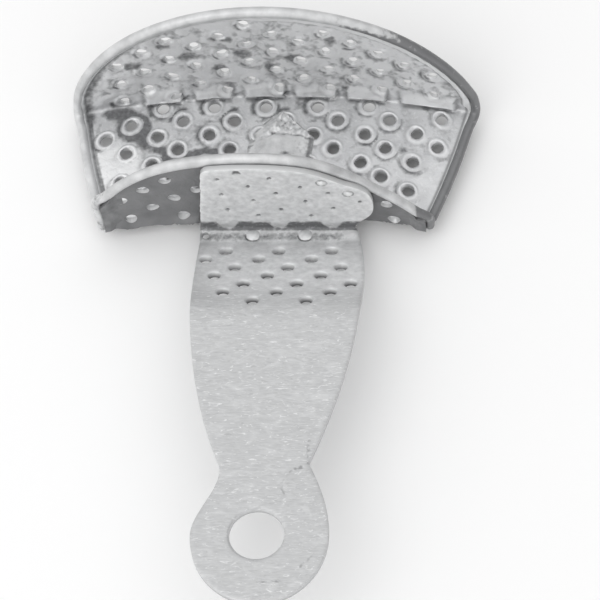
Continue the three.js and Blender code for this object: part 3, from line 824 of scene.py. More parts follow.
def trough_stains_and_shade(points, places, from_hole, direction, number, from_edge):
    """How dark the sheet is from stains and painted shade, and where painted highlights and a lighter corner
    lift it, both from 0 to 1.
    """
    x, y, z = places.T
    on_wall = smooth(z, 1.3, 2.2) * (y > 0)
    on_floor = fade(z, 0.9, 1.3)
    left = smooth(-x, -4.0, 15.0)

    # Loose blots and veins, and painted shade in the hollows of the sheet's own waves
    blots = noise_at(points, 3.0, 61) + 0.45 * noise_at(points, 1.2, 62)
    loose = 0.85 * smooth(blots - 0.56 + 0.26 * left * on_floor + 0.16 * on_wall, 0.0, 0.45)
    veins = fade(np.abs(noise_at(points, 2.4, 63) + 0.5 * noise_at(points, 0.9, 64)), 0.0, 0.3)
    veins *= smooth(noise_at(points, 3.5, 65), -0.25, 0.25) * (0.6 * on_wall + 0.4 * left * on_floor)
    relief = noise_at(points, 2.2, 2) + 0.7 * noise_at(points, 1.0, 6)
    hollow_shade = (0.25 * on_floor + 0.7 * on_wall) * smooth(-relief, 0.1, 0.85)
    marks = [loose, veins, hollow_shade]

    # Marks at places of their own: dark blots, the pool of soot with its tail and band, and painted shade
    for across, up, width, tall in WALL_BLOTS:
        marks.append(on_wall * fade(np.hypot((x - across) / width, (z - up) / tall), 0.6, 1.25))
    # Painted shadow of the low wall on the floor behind it
    rim_behind = front_face(x) + 0.53 * np.array([rim_height(FRONT_RIM, q + 1.6) for q in x])
    span = smooth(x, -17.5, -15.5) * fade(x, -5.0, -3.4)
    marks.append(on_floor * span * fade(np.abs(y - rim_behind - 2.0), 0.6, 1.0))
    from_pool = np.hypot(x - POOL[0], y - POOL[1])
    lopsided = 0.35 * (x - POOL[0] - y + POOL[1]) / np.maximum(from_pool, 0.1)
    pool = on_floor * fade(from_pool, 2.1 + lopsided, 2.7 + lopsided)
    tail = on_floor * fade(nearest(places[:, :2], resample(POOL_TAIL, 0.02)), 0.5, 1.0)
    band = on_floor * fade(np.hypot((x - POOL_BAND[0]) / 2.8, (y - POOL_BAND[1]) / 1.2), 0.6, 1.15)
    # Painted shade in a strip beside the fillet at the left end
    left_edge = fade(np.abs(from_edge - 0.75), 0.15, 0.45) * smooth(-x, 15.0, 19.0)
    left_edge *= 0.75 + 0.35 * noise_at(points, 1.3, 67)
    # Painted shade in the tall wall's left corner
    left_corner = fade(from_edge, 1.0, 2.0) * smooth(-x, 19.0, 21.0) * smooth(y, 4.0, 6.0)
    left_corner *= fade(z, 8.0, 13.0) * (0.8 + 0.5 * noise_at(points, 1.0, 66))
    # Painted shade above the bars
    above_bars = 0.6 * on_wall * hump(z, 3.8, 0.45) * smooth(blots, -0.3, 0.5)
    marks += [pool, tail, band, left_edge, left_corner, above_bars]

    # Painted shade round the holes, each on its own side
    first_row = (y > 5.0) * fade(z, 1.6, 2.4) * fade(x, 7.0, 9.0)
    marks.append(0.95 * first_row * hump(from_hole, 1.8, 0.4) * facing(direction, 2.6, 0.0, 0.5))
    chance = 0.5 + 0.5 * np.sin(3.7 * number + 1.0)
    on_right_wall = on_wall * smooth(x, 6.0, 8.0)
    turn = np.where(on_right_wall > 0.5, -2.5, -2.2 + 1.3 * np.sin(7.1 * number))
    strength = np.maximum((0.2 + 0.8 * chance) * (1 - 0.6 * on_wall), 0.9 * on_right_wall * (z < 13))
    marks.append(facing(direction, turn, 0.0, 0.75) * hump(from_hole, 1.62, 0.32) * strength)
    moats = on_floor * hump(from_hole, 1.85, 0.3) * facing(direction, -1.8, -0.3, 0.6)
    marks.append(moats * (0.45 + 0.25 * np.sin(5.1 * number)) * smooth(blots, -0.8, 0.2))
    marks.append(on_wall * hump(from_hole, 1.05, 0.35) * facing(direction, -2.6, 0.6, 0.95))

    # Lighter places: the floor's left front corner, and painted highlights beside each hole of the tall wall
    # and on the crests of its waves; the corner stays clean of stains
    corner = on_floor * smooth(-x, 16.0, 18.5) * fade(y, 0.6, 1.6)
    off_hole = np.hypot(from_hole * np.cos(direction) - 0.35, from_hole * np.sin(direction) - 0.25)
    beside_hole, on_crest = on_wall * hump(off_hole, 0, 1), 0.8 * on_wall * smooth(relief, 0.2, 0.7)
    light = np.maximum.reduce([corner, beside_hole, on_crest])
    clean = corner * smooth(from_edge, 1.2, 1.8) * (1 - np.maximum(pool, tail))
    return np.maximum.reduce(marks) * (1 - clean) * (1 - 0.2 * on_wall), light


def make_trough(material):
    outline = closed(trough_outline(), PATTERN_STEP)
    holes, rings, centres = [], [], []
    for (to_sheet, panel), (size, ragged) in zip(trough_holes(), HOLE_SHAPES):
        for centre in panel:
            loop = ragged_hole(np.array(centre), BURR_HOLE * size, ragged, len(centres))
            holes.append(to_sheet(*loop.T))
            centres.append(to_sheet(*centre))
            rings += [to_sheet(*circle(centre, radius).T) for radius in HOLE_RINGS]
    rings += [outline + outline_normals(outline) * d for d in EDGE_RINGS]
    points, triangles = flat_pattern(outline, holes, pattern_points(outline, holes, rings))

    places = fold_trough(points, SHEET)
    from_hole, direction, number = closest(points, np.array(centres))
    from_edge = nearest(points, closed(outline, 0.1))
    x = points[:, 0]
    height = places[:, 2]
    on_tall = smooth(height, 1.3, 2.2) * (places[:, 1] > 0)
    left = smooth(-x, -6.0, 14.0)

    # The burrs round the holes, whose rings are a little off their holes and stronger on one side
    strength = np.clip(0.85 + 0.4 * noise_at(points, 4.0, 3), 0.4, 1.15) * (1 - 0.45 * on_tall)
    strength = strength * (0.78 + 0.30 * np.cos(direction - 1.7))
    off_x, off_y = 0.13 * np.cos(2.3 * number), 0.13 * np.sin(2.3 * number)
    from_ring = np.hypot(from_hole * np.cos(direction) - off_x, from_hole * np.sin(direction) - off_y)
    reach = LIP_REACH * (1 + 0.13 * noise_at(points, 1.3, 4))
    burr_and_painted_highlight = smooth(from_hole, BURR_HOLE - 0.1, LIP_RADIUS) * fade(from_ring, LIP_RADIUS, reach)
    crest = hump(from_ring, LIP_RADIUS, 0.15)
    moat = hump(from_ring, reach, 0.2) * facing(direction, -2.3, -0.5, 0.8)

    # The bars, the sheet's own waves and the fillet of solder along the wires
    bars, below_bars = fold_bars(points)
    quiet = smooth(from_edge, 0.0, 1.5)
    waves = (0.07 + 0.09 * left) * noise_at(points, 5.0, 1)
    waves += (0.06 + 0.2 * on_tall) * noise_at(points, 2.2, 2)
    waves += (0.03 + 0.15 * on_tall) * noise_at(points, 1.0, 6)
    fillet_reach = lerp(0.5, 1.15, on_tall * smooth(x, -9.0, 1.0))
    fillet = fade(from_edge, fillet_reach - 0.45, fillet_reach)
    slant = lerp(BAR_FOOT, BAR_TOP, np.clip((height - 0.8) / 2.5, 0, 1))
    pressed = strength * (LIP * burr_and_painted_highlight - 0.03 * moat) + (waves + slant * bars - 0.08 * below_bars) * quiet
    pressed = pressed + RIM_FILLET * fillet * (1 + 0.3 * noise_at(points, 1.1, 7))
    worn = CHAMFER * fade(from_hole, BURR_HOLE, BURR_HOLE + 0.1)

    def inner(flat):
        return fold_trough(flat, SHEET + pressed - worn)

    def outer(flat):
        folded = fold_trough(flat, np.maximum(0.0, 0.3 * waves + worn * 0.5), near_square=1.0)
        beside_tab = smooth(-x, 8.2, 9.2) * fade(-x, 18.5, 21.5)
        folded[:, 1] -= LOW_EDGE_SWELL * beside_tab * hump(flat[:, 1], 0.7, 0.95)
        return folded

    # Colour marks: stains and painted shade darken the sheet, and painted highlights lighten it
    stains_and_shade, light = trough_stains_and_shade(points, places, from_hole, direction, number, from_edge)
    # Stains leave the burrs' rings, where a weak painted shade lies off the crest in the trough's left part;
    # they leave the fillet and the bars too
    ringed = smooth(LIP_REACH - from_ring, -0.05, 0.15) * (1 - on_tall * smooth(from_ring, 0.8, 1.1))
    stains_and_shade = np.maximum(stains_and_shade * (1 - ringed), 0.3 * ringed * (1 - crest) * left)
    stains_and_shade *= (1 - fillet) * (1 - 0.9 * bars)
    # Painted highlights on the burrs' crests, patchy and weaker on the first row's near side and on the tall
    # wall; on the bars, along the fillet, and over the whole tall wall
    patchy = lerp(0.35, 1.0, smooth(noise_at(points, 1.2, 8), -0.45, 0.4))
    first_row = (places[:, 1] > 5.0) * (1 - on_tall)
    lit_crest = 0.85 * crest * patchy * np.clip(strength, 0, 1) * (1 - 0.3 * on_tall)
    lit_crest *= 1 - 0.8 * first_row * fade(np.sin(direction), -0.2, 0.5)
    lit_fillet = fillet * (0.6 + 0.3 * smooth(x, 14.0, 18.0) * (1 - on_tall))
    painted_highlights = np.maximum.reduce([lit_crest, bars * quiet, lit_fillet, 0.75 * light, 0.55 * on_tall])
    # Painted shade in the creases: the burrs' moats, under the bars and at the fillet's foot
    beside_fillet = 0.9 * hump(from_edge, fillet_reach, 0.16)
    crease_shade = np.maximum.reduce([0.6 * moat * strength, below_bars * quiet, beside_fillet])
    spots = {"burr_and_painted_highlight": painted_highlights, "painted_crease_shade": crease_shade, "stain_and_painted_shade": stains_and_shade}
    vertices, faces, marks = thick_sheet(points, triangles, inner, outer)
    new_piece("trough", "tray_shell", "polished_sheet", material, vertices, faces, marks, spots)


# ---- Rim wires ----


def outer_wire_route():
    sides = []
    for side in (-1, 1):
        plan = floor_side(side, np.array((0.07, 0.3, 0.55, 0.8)), WIRE_SEAT)
        turn_x = BACK_SHIFT + side * (BACK_HALF + WIRE_SEAT + 0.05)
        turn = (turn_x, back_face(turn_x) - 1.0, 1.15)
        sides.append([*((x, y, WIRE_RADIUS + 0.1) for x, y in plan), turn])
    left, right = sides
    arch = []
    for angle in np.linspace(math.pi - 0.16, 0.16, 27):
        z = BACK_RIM["height"] * math.sin(angle)
        x = BACK_RIM["centre"] + BACK_RIM["half"] * math.cos(angle) - BACK_RIM["lean"] * z
        arch.append((x, back_face(x) - SHEET / 2, z - ARCH_SAG * math.sin(angle) ** 4))
    return catmull(left + arch + right[::-1], WIRE_STEPS)


def near_wire_route():
    splay = (BACK_HALF + BACK_SHIFT - FRONT_HALF) / (BACK_Y - FRONT_Y)
    end_x = FRONT_HALF + WIRE_SEAT + splay * WIRE_RADIUS
    end_y = front_face(FRONT_HALF) + SHEET / 2
    foot = WIRE_RADIUS * 0.9
    left = [(-end_x, end_y, z) for z in (foot, 2.5, rim_height(FRONT_RIM, -FRONT_HALF) - 0.9)]
    right = [(end_x, end_y, z) for z in (FRONT_END_HEIGHT + 0.2, foot)]
    top = []
    for x in np.linspace(-FRONT_HALF + 0.2, FRONT_HALF - 0.5, 23):
        height = max(rim_height(FRONT_RIM, x), FRONT_END_HEIGHT + WIRE_SEAT)
        top.append((x, front_face(x) + SHEET / 2, height))
    return catmull(left + top + right, WIRE_STEPS)


def make_wires(material):
    """Both wires. Solder thickens each at the middle of its arch. The outer wire's right side and the near
    wire's ends, the right one most, are darkened with tarnish and painted shade.
    """
    route = outer_wire_route()
    vertices, faces, out = tube(route, WIRE_RADIUS + OUTER_SOLDER * smooth(route[:, 2], 9.0, 18.0), 5)
    x = vertices[:, 0]
    # Tarnish and painted shade on the outer wire's right side; its upper flank is kept lighter there, as if
    # lit, short of the end
    upper = smooth(out[:, 2] + 0.5 * out[:, 0], 0.25, 0.6) * fade(x, 14.0, 20.0)
    spots = {"tarnish_and_painted_shade": smooth(x, 6.0, 15.0) * (1 - 0.9 * upper)}
    new_piece("outer_wire", "outer_rim_wire", "rim_wire", material, vertices, faces, spots=spots)

    route = near_wire_route()
    middle = fade(np.abs(route[:, 0] + 1.0), 9.0, 16.0)
    vertices, faces, _ = tube(route, WIRE_RADIUS + NEAR_SOLDER * middle, 8)
    x = vertices[:, 0]
    # The near wire's ends are darker, the right one most: tarnish and painted shade in the corners
    spots = {"tarnish_and_painted_shade": smooth(x, 19.6, 20.6) + 0.35 * smooth(-x, 19.5, 21.5)}
    new_piece("near_wire", "near_rim_wire", "rim_wire", material, vertices, faces, spots=spots)


# ---- Handle ----

half_handle = HANDLE_SHEET / 2
foot_turn = FOOT_RADIUS + half_handle
tab_foot_z = half_handle + foot_turn  # where the tab's straight part starts
shelf_middle = foot_turn * math.pi / 2 + SHELF / 2  # along the handle

# The side view from the tab's foot to the ring: (length, None) is straight, and (degrees, radius) is a turn
handle_legs = (
    (90.0, foot_turn),
    (SHELF, None),
    (RISE_ANGLE, RISE_RADIUS + half_handle),
    (RISE, None),
    (GRIP_ANGLE - RISE_ANGLE, CREST_RADIUS),
    (HANDLE_LENGTH, None),
)


def bend_handle(places, lift):
    """The straightened handle's places (x, s) bent, `lift` above its middle; s grows up the tab."""
    x, s = places.T
    y = np.full(x.shape, TAB_BACK_Y - half_handle)
    z = tab_foot_z + np.maximum(s, 0.0)
    angle = np.full(x.shape, -math.pi / 2)
    left = np.maximum(-s, 0.0)
    for amount, radius in handle_legs:
        if radius is None:
            step = chord = np.minimum(left, amount)
            part = 0.0
        else:
            turn = math.radians(amount)
            step = np.minimum(left, abs(turn) * radius)
            part = np.sign(turn) * step / radius
            chord = 2 * radius * np.sin(np.abs(part) / 2)
        y = y - chord * np.cos(angle + part / 2)
        z = z + chord * np.sin(angle + part / 2)
        angle = angle + part
        left = left - step
    return np.stack([x, y + lift * np.sin(angle), z + lift * np.cos(angle)], axis=1)


def straightened(plan_y):
    """The s of the handle's middle line where it passes plan_y."""
    s = -np.linspace(0.0, HANDLE_LENGTH + 10, 6000)
    line = bend_handle(np.stack([np.zeros_like(s), s], axis=1), 0.0)
    return np.interp(-plan_y, -line[:, 1], s)


def handle_outline():
    """The straightened handle's outline, from the tab's left corner round to it again."""
    neck_y = HANDLE_END_Y + NECK_TO_END
    ring_y = HANDLE_END_Y + RING_LENGTH_HALF
    neck_left, neck_right = HANDLE_CENTRE - NECK_HALF, HANDLE_CENTRE + NECK_HALF
    ring_left, ring_right = HANDLE_CENTRE - RING_HALF, HANDLE_CENTRE + RING_HALF
    waist, belly, crest = BEND_LEFT - WAIST_SWELL, BEND_RIGHT + BELLY_SWELL, BEND_RIGHT + CREST_SWELL
    pull = (NECK_TO_END - RING_LENGTH_HALF) / 3
    neck_pull, ring_pull = neck_y - pull, ring_y + pull

    def down(share):
        return lerp(TAB_BACK_Y, neck_y, share)

    angles = np.linspace(math.pi, 2 * math.pi, 50)
    ring = np.stack([RING_HALF * np.cos(angles), RING_LENGTH_HALF * np.sin(angles)], axis=1)
    left_pulls = (neck_left + pull / 3, neck_pull), (ring_left, ring_pull)
    right_pulls = (ring_right, ring_pull), (neck_right + pull / 2, neck_pull)
    parts = [
        cubic((BEND_LEFT, TAB_BACK_Y), (BEND_LEFT, down(0.35)), (waist, down(0.68)), (neck_left, neck_y)),
        cubic((neck_left, neck_y), *left_pulls, (ring_left, ring_y)),
        ring + (HANDLE_CENTRE, ring_y),
        cubic((ring_right, ring_y), *right_pulls, (neck_right, neck_y)),
        cubic((neck_right, neck_y), (belly, down(0.6)), (crest, down(0.25)), (BEND_RIGHT, TAB_BACK_Y)),
    ]
    plan = np.vstack(parts)
    grip = np.stack([plan[:, 0], straightened(plan[:, 1])], axis=1)
    grip = grip[grip[:, 1] < -foot_turn]

    def top_at(x):
        return rim_height(FRONT_RIM, x) + TAB_PROUD - tab_foot_z

    waist_s = TAB_WAIST - tab_foot_z
    side_pull = TAB_WAIST / 2
    low_s, high_s = waist_s - side_pull, waist_s + side_pull
    corner_x, shoulder_x = TAB_LEFT + TAB_CORNER, TAB_RIGHT - TAB_SHOULDER
    corner_s, shoulder_s = top_at(corner_x), top_at(TAB_RIGHT - 2)
    shoulder_pulls = (TAB_RIGHT, high_s), (TAB_RIGHT - 1, shoulder_s)
    corner_pulls = (TAB_LEFT + 0.6, corner_s), (TAB_LEFT, corner_s - 0.6)
    xs = np.linspace(shoulder_x, corner_x, 30)
    tab = [
        cubic((BEND_RIGHT, -0.4), (BEND_RIGHT + 1, low_s), (TAB_RIGHT, low_s), (TAB_RIGHT, waist_s)),
        cubic((TAB_RIGHT, waist_s), *shoulder_pulls, (shoulder_x, top_at(shoulder_x))),
        [(x, top_at(x)) for x in xs],
        cubic((corner_x, corner_s), *corner_pulls, (TAB_LEFT, corner_s - TAB_CORNER)),
        [(BEND_LEFT, -0.4)],
    ]
    loop = np.vstack([grip, *tab])
    steps = np.linalg.norm(np.diff(loop, axis=0), axis=1)
    return loop[np.r_[True, steps > 1e-3]]


def handle_holes():
    """Centres of the holes in the handle's rise, and of the row on its shelf, which solder has filled."""
    first_row = shelf_middle + ROW_PITCH / 2
    above_last = first_row + 5.5 * RISE_ROWS["step"]  # the last row misses its hole at the left edge

    def in_rise(x, distance):
        margin = 2 * EDGE_MARGIN if distance > above_last else EDGE_MARGIN - HOLE_RADIUS / 2
        return BEND_LEFT + margin < x < BEND_RIGHT + HOLE_RADIUS

    def in_shelf(x, _):
        return BEND_LEFT + EDGE_MARGIN < x < BEND_RIGHT - EDGE_MARGIN

    rise = staggered_rows(in_rise, (RISE_X, first_row), **RISE_ROWS)
    shelf = staggered_rows(in_shelf, (SHELF_X, shelf_middle), 0.0, rows=range(1))
    return [np.array([(x, -distance) for x, distance in row]) for row in (rise, shelf)]


def tab_pits():
    """Centres of the tab's own perforation, which solder has filled from behind."""

    def fits(x, s):
        top = rim_height(FRONT_RIM, x) - tab_foot_z
        return TAB_LEFT + 0.6 < x < TAB_RIGHT - 1.2 and s < top - 0.8

    return np.array(staggered_rows(fits, (TAB_START[0], TAB_START[1] - tab_foot_z), **TAB_ROWS))


def scratch(points, centre, radius, start, end):
    """How close each point is to an arc, from 0 to 1: a scratch about 0.3 mm wide, with angles in degrees."""
    away = points - centre
    angle = np.degrees(np.arctan2(away[:, 1], away[:, 0]))
    middle, half = (start + end) / 2, (end - start) / 2
    off = np.abs((angle - middle + 180) % 360 - 180)
    wander = 0.12 * noise_at(points, 0.8, 71)
    across = hump(np.linalg.norm(away, axis=1) + wander, radius, 0.17)
    return across * fade(off, half - 4, half + 4)


def handle_marks(points, ring_centre):
    """Painted shade in the foot's bend and at the rise's foot, dirt in a blot and in the scratches near the
    ring, and the frosted tab: (soot and painted shade, frost).
    """
    x, s = points.T
    nearest_lump = np.abs((x - 2.0 + ROW_PITCH / 2) % ROW_PITCH - ROW_PITCH / 2)
    lump = np.exp(-((nearest_lump / 1.15) ** 4))
    scallops = 1.15 - 1.8 * lump + 0.5 * noise_at(points, 1.2, 73)
    # Painted shade at the tab's foot and in its bend, with a scalloped upper edge
    under_tab = 0.85 * smooth(s, -1.5, -1.1) * fade(s, scallops - 0.4, scallops + 0.4)
    valley = -shelf_middle - SHELF / 2
    # Painted shade where the shelf meets the rise
    at_rise = 0.62 * hump(s, valley + 0.3, 0.75) * fade(x, 9.5, 11.5)
    blot = 0.6 * fade(away_from(points, ring_centre + SCRATCH_BLOT), 0.2, 0.6)
    soot_and_painted_shade = [under_tab, at_rise, blot]
    for shift, *arc in RING_SCRATCHES:
        soot_and_painted_shade.append(0.5 * scratch(points, ring_centre + shift, *arc))
    rise_end = valley - RISE
    on_shelf = 0.75 * smooth(-s, 1.2, 1.8) * smooth(s, rise_end - 2.0, rise_end + 6.0)
    frost = np.maximum(smooth(s, 0.0, 1.2), on_shelf)
    return np.maximum.reduce(soot_and_painted_shade), frost * (1 - under_tab)


def make_handle(material):
    outline = closed(handle_outline(), PATTERN_STEP / 3)
    rise, shelf = handle_holes()
    for centre in rise:
        outline = notched(outline, centre, HOLE_RADIUS)
    outline = closed(outline, PATTERN_STEP / 2)
    nibbled = smooth(outline[:, 1], 1.0, 3.0) * fade(outline[:, 0], -6.5, -5.5)
    outline[:, 0] += 0.13 * noise_at(outline, 0.9, 74) * nibbled
    ring_centre = np.array([HANDLE_CENTRE, straightened(HANDLE_END_Y + RING_LENGTH_HALF)])
    bore = ring_centre + BORE_SHIFT
    centres = rise[inside(rise, outline)]
    centres = centres[nearest(centres, outline) > HOLE_RADIUS * 1.02]
    side_hole = np.array([BEND_LEFT + 0.75, -shelf_middle])
    pits = tab_pits()
    bore_radius = RING_BORE / 2
    holes = [circle(c, HOLE_RADIUS) for c in centres]
    holes += [circle(side_hole, SIDE_HOLE, 14), circle(bore, bore_radius, BORE_STEPS)]
    rings = [outline + outline_normals(outline) * 0.13]
    for middles, steps, radii in (
        (centres, HOLE_STEPS, (0.96, 1.04, 1.18, 1.36)),
        (shelf, HOLE_STEPS, (0.35, 0.65, 0.82, 0.92, 1.02, 1.15)),
        ([bore], BORE_STEPS, (bore_radius + 0.1, bore_radius + 0.2, bore_radius + 0.34)),
        (pits, 16, (0.12, 0.24, 0.4, 0.6, 0.8, 0.95)),
        (TAB_LUMPS, 18, (0.2, 0.4, 0.6, 0.75, 0.9)),
    ):
        rings += [circle(middle, radius, steps) for middle in middles for radius in radii]
    points, triangles = flat_pattern(outline, holes, pattern_points(outline, holes, rings))

    x, s = points.T
    from_hole, direction, _ = closest(points, centres)
    from_bore = away_from(points, bore) - bore_radius
    from_edge = np.minimum(nearest(points, outline), away_from(points, side_hole) - SIDE_HOLE)
    worn = CHAMFER * fade(np.minimum(from_hole - HOLE_RADIUS, from_edge), 0.0, 0.12)
    worn = np.maximum(worn, 0.22 * fade(from_bore, 0.0, 0.3))
    waves = 0.03 * noise_at(points, 7.0, 11) + 0.012 * noise_at(points, 2.5, 12)
    soot_and_painted_shade, frost = handle_marks(points, ring_centre)
    raised = -0.06 * fade(from_hole, HOLE_RADIUS, 1.4)
    for i, centre in enumerate(pits):
        away = away_from(points, centre)
        pit = away_from(points, centre + (-0.45 + 0.1 * math.sin(3 * i), 0.25 * math.cos(5 * i)))
        raised -= 0.10 * fade(away, 0.6, 0.95) + 0.22 * fade(pit, 0.08, 0.4)
        # Painted shade in each pit
        soot_and_painted_shade = np.maximum(soot_and_painted_shade, 0.9 * fade(pit, 0.15, 0.46))
    for centre in shelf:
        away = away_from(points, centre)
        raised += 0.10 * fade(away, 0.3, 0.85) - 0.08 * hump(away, 0.95, 0.1)
        frost = np.maximum(frost, fade(away, 0.8, 0.95))
        soot_and_painted_shade = np.where(away < 0.9, 0.0, soot_and_painted_shade)
        # Painted shade round each shelf dome on its lower left side
        below = smooth(centre[1] - s + 0.3 * (centre[0] - x), -0.2, 0.6)
        soot_and_painted_shade = np.maximum(soot_and_painted_shade, below * hump(away, 1.0, 0.16))
    for centre in TAB_LUMPS:
        away = away_from(points, centre)
        raised += 0.3 * fade(away, 0.1, 0.6) - 0.06 * hump(away, 0.72, 0.12)
        # Painted shade round the foot of each lump
        soot_and_painted_shade = np.maximum(soot_and_painted_shade, 0.6 * hump(away, 0.68, 0.16))
    oval = np.hypot(x - TAB_OVAL[0], (s - TAB_OVAL[1] + tab_foot_z) / 0.6)
    raised -= 0.2 * fade(oval, 0.3, 0.8)
    # Painted shade in the hollow
    soot_and_painted_shade = np.maximum(soot_and_painted_shade, 0.9 * fade(oval, 0.4, 0.8))

    def upper(places):
        return bend_handle(places, half_handle - worn + raised + waves)

    def lower(places):
        pulled = 0.24 * fade(from_hole, HOLE_RADIUS, 1.6)
        to_hole = np.stack([-np.cos(direction), -np.sin(direction)], axis=1) * pulled[:, None]
        return bend_handle(places + to_hole, -half_handle + np.minimum(worn, CHAMFER) + waves)

    # Painted shade down the holes' walls, deepest in the rise's lower rows, and lighter on the other cut
    # edges
    in_hole = lerp(0.6, 1.0, smooth(-s - shelf_middle, 4.0, 11.0))
    depth = np.where(from_hole < HOLE_RADIUS + 0.1, in_hole, 0.35)
    spots = {"frost": frost, "soot_and_painted_shade": soot_and_painted_shade, "depth": np.r_[np.zeros(len(points)), depth]}
    vertices, faces, marks = thick_sheet(points, triangles, upper, lower)
    new_piece("handle", "handle_plate", "handle_sheet", material, vertices, faces, marks, spots)


# ---- Solder ----


def make_floor_solder(material):
    """The run of solder on the floor: a smooth dome behind the handle, and knobbly where it froze."""
    start, turn, end = FRONT_Y + 1.4, 2.5, 6.6
    left, right, tip = -3.0, 6.0, 1.5
    s, t = grid(120, 150)
    y = lerp(start, end, t)
    narrows = np.clip((y - 0.5) / (end - 0.5), 0, 1)
    drawn_in = np.clip((y - turn) / (end - turn), 0, 1)
    low_x = lerp(left, tip - 0.4, narrows**1.9)
    high_x = lerp(right, tip + 0.4, drawn_in) - 0.12 * np.clip(turn - y, 0, 5)
    straight_x = lerp(low_x, high_x, s)

    def uneven(scale, seed):
        return grid_noise(straight_x, y, scale, seed)

    x = straight_x + 0.25 * uneven(1.4, 24) * (1 - np.abs(2 * s - 1))
    width = np.minimum(high_x - low_x, 6.0)
    border = smooth(s * width, 0, 1.9) * smooth((1 - s) * width, 0.0, 0.45) * smooth(1 - t, 0, 0.05)
    dome_end = 2.0 + 0.5 * uneven(1.5, 25) - smooth(0.35 - s, 0.0, 0.35)
    rough = smooth(y - dome_end, 0.0, 0.7)
    knobs = 0.30 * uneven(0.9, 21) + 0.18 * uneven(0.45, 22)
    dome = 1.2 * np.sin(np.pi * np.clip(0.1 + 0.8 * s, 0, 1))
    height = border * (lerp(dome, 0.65, rough) + knobs * rough)
    from_hole = np.hypot(x - FILLED_HOLE[0], y - FILLED_HOLE[1])
    height = height * lerp(1.0, smooth(from_hole, 0.35, 0.75), 0.6)
    for knob_x, knob_y, tall, wide in FLOOR_KNOBS:
        height += tall * border * hump(np.hypot(x - knob_x, y - knob_y), 0, wide)
    height += 0.03 * uneven(2.5, 23) * border
    top = np.stack([x, y, SHEET + 0.08 + np.maximum(0.0, height)], axis=2)
    bottom = np.stack([x, y, np.full_like(x, SHEET - SOLDER_DIP)], axis=2)

    # Painted shade on the steep right side, behind the dome, on the left slope and the dome's sides and in
    # the hollows between knobs; the smudge is a dark spot
    steep_side = smooth((s - 1) * width, -0.7, -0.2) * (0.62 + 0.25 * uneven(0.9, 27)) * (1 - 0.3 * rough)
    behind_dome = 0.7 * hump(y, dome_end + 0.25, 0.22) * smooth(uneven(1.0, 26), -0.5, 0.3)
    left_side = 0.55 * fade(s * width, 0.1, 0.7) * smooth(y, -1.0, 1.0)
    dome_sides = (1 - rough) * (0.3 * smooth(s, 0.5, 0.95) + 0.25 * fade(s, 0.05, 0.4))
    smudge = 0.75 * hump(x, 2.4, 0.9) * hump(y, -0.5, 0.4)
    hollows = 0.8 * rough * smooth(-knobs, 0.03, 0.25)
    dirt_and_painted_shade = np.maximum.reduce([steep_side, behind_dome, left_side, dome_sides, smudge, hollows])
    spots = {"dirt_and_painted_shade": dirt_and_painted_shade.ravel()}
    new_piece("floor_solder", "floor_braze", "solder", material, *grid_solid(top, bottom), spots=spots)


def make_corner_solder(material, side):
    """The skin of solder that closes a near corner between the two wires."""
    s, t = grid(60, 60)
    x = side * lerp(FRONT_HALF + 0.6, FRONT_HALF - CORNER_REACH, s)
    heights = np.array([max(FRONT_END_HEIGHT + 0.9, rim_height(FRONT_RIM, q, 0.4)) for q in x[:, 0]])
    z = lerp(0.55, heights[:, None], t)
    cover = smooth(1 - s + 0.18 * grid_noise(x, z, 1.6, 31 + side), 0.12, 0.75)
    thick = CORNER_THICKNESS * cover * (0.55 + 0.45 * smooth(np.abs(t - 0.45), 0.1, 0.5)) - 0.05
    y = front_face(x) - thick - 0.03 * grid_noise(x, z, 0.8, 33) * cover
    top = np.stack([x, y, z], axis=2)
    bottom = np.stack([x, front_face(x) + 0.2, z], axis=2)
    if side > 0:
        top, bottom = top[::-1], bottom[::-1]
    which = "left" if side < 0 else "right"
    new_piece("corner_solder_" + which, "corner_braze_" + which, "solder", material, *grid_solid(top, bottom))


def make_tab_solder(material):
    """The film between the low wall and the tab, with a slightly wavering outline."""
    low, high = (np.array(corner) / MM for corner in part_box("handle_braze"))
    s, t = grid(70, 50)
    x = lerp(low[0], high[0], s)
    tops = np.array([rim_height(FRONT_RIM, q, WIRE_SEAT + 0.4) for q in x[:, 0]])
    z = lerp(low[2], tops[:, None], t)
    wander = 0.05 * grid_noise(x, z, 1.3, 41)
    front = np.stack([x, np.full_like(x, TAB_BACK_Y + 0.02), z + wander], axis=2)
    back = np.stack([x, np.full_like(x, FRONT_Y - 0.02), z - wander], axis=2)
    new_piece("tab_solder", "handle_braze", "solder", material, *grid_solid(front, back))


# ---- Stage ----

TARGET = Vector((0.0, -30.0, 4.0)) * MM
CAMERA_ELEVATION = 62.0
CAMERA_AZIMUTH = 12.0
CAMERA_ROLL = 10.6
CAMERA_DISTANCE = 480.0 * MM
CAMERA_LENS = 221.8
FRAME_CENTRE = (5.6 * MM, 5.3 * MM)  # of the picture, from the target, to its right and upwards
KEY_SPOT = Vector((-0.20, -0.22, 0.50))
KEY_SIZE = 0.40
KEY_POWER = 0.35
WORLD_STRENGTH = 1.08
FLOOR_HALF = 2.0
FLOOR_GAP = 2.0 * MM  # under the tray


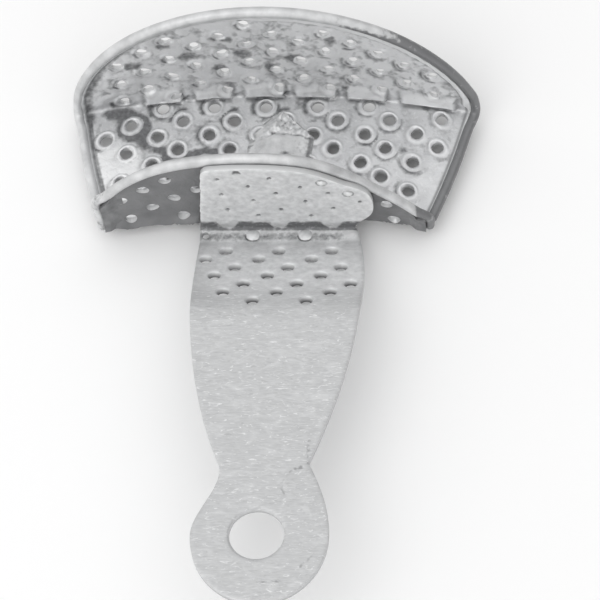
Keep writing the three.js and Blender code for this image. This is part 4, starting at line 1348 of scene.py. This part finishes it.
def add_camera():
    elevation, azimuth, roll = (math.radians(a) for a in (CAMERA_ELEVATION, CAMERA_AZIMUTH, CAMERA_ROLL))
    flat = math.cos(elevation)
    away = Vector((math.sin(azimuth) * flat, -math.cos(azimuth) * flat, math.sin(elevation)))
    level = Vector((math.cos(azimuth), math.sin(azimuth), 0))
    upright = away.cross(level)
    right = math.cos(roll) * level - math.sin(roll) * upright
    up = math.sin(roll) * level + math.cos(roll) * upright
    spot = TARGET + CAMERA_DISTANCE * away
    aim = TARGET + right * FRAME_CENTRE[0] + up * FRAME_CENTRE[1]
    back = (spot - aim).normalized()
    right = (right - back * right.dot(back)).normalized()
    up = back.cross(right)
    data = bpy.data.cameras.new("camera")
    data.lens = CAMERA_LENS
    data.sensor_width = 36.0
    data.clip_start = 0.01
    camera = add_object("camera", data)
    camera.matrix_world = Matrix.Translation(spot) @ Matrix((right, up, back)).transposed().to_4x4()
    bpy.context.scene.camera = camera


def add_key_light():
    data = bpy.data.lights.new("key", "AREA")
    data.shape = "DISK"
    data.size = KEY_SIZE
    data.energy = KEY_POWER
    lamp = add_object("key", data)
    lamp.location = KEY_SPOT
    lamp.rotation_euler = (TARGET - KEY_SPOT).to_track_quat("-Z", "Y").to_euler()


def set_world():
    """A pale studio, brightest above and at the front left, and darker low down at the back and right."""
    world = bpy.data.worlds.new("studio")
    world.use_nodes = True
    bpy.context.scene.world = world
    tree = world.node_tree
    tree.nodes.clear()
    direction = node(tree, "TexCoord").outputs["Generated"]
    parts = node(tree, "SeparateXYZ", {"Vector": direction})
    from_right = remap(tree, parts.outputs["X"], 1.0, 0.25, 0.0, 0.95)
    from_back = remap(tree, parts.outputs["Y"], 1.0, 0.45, 0.2, 0.95)
    low_down = math_of(tree, "MULTIPLY", from_right, from_back)
    overhead = remap(tree, parts.outputs["Z"], 0.0, 1.0, 0.25, 0.85)
    level = node(tree, "Mix", {0: overhead, 2: low_down, 3: 1.0}, data_type="FLOAT").outputs[0]
    strength = math_of(tree, "MULTIPLY", level, WORLD_STRENGTH)
    background = node(tree, "Background", {"Color": (1, 1, 1, 1), "Strength": strength})
    node(tree, "OutputWorld", {"Surface": background.outputs[0]})


def add_floor():
    """The pale floor just under the tray."""
    low = cad_box[0][2] - FLOOR_GAP
    mesh = bpy.data.meshes.new("floor")
    signs = ((-1, -1), (1, -1), (1, 1), (-1, 1))
    mesh.from_pydata([(FLOOR_HALF * x, FLOOR_HALF * y, low) for x, y in signs], [], [(0, 1, 2, 3)])
    material, tree = new_material("floor")
    pale = node(tree, "BsdfDiffuse", {"Color": (0.95, 0.95, 0.95, 1)})
    node(tree, "OutputMaterial", {"Surface": pale.outputs[0]})
    mesh.materials.append(material)
    floor = add_object("floor", mesh)


def build():
    add_camera()
    set_world()
    add_floor()
    add_key_light()
    bpy.context.scene.view_settings.view_transform = "Standard"
    solder = solder_metal("solder", 0.62, 0.82)
    # The dark copy of the solder, on the near corners, is painted shade
    painted_shade_solder = solder_metal("painted_shade_solder", 0.16, 0.26)
    make_trough(polished_steel())
    make_wires(wire_steel())
    make_handle(brushed_steel())
    make_floor_solder(solder)
    make_tab_solder(solder)
    for side in (-1, 1):
        make_corner_solder(painted_shade_solder, side)


build()
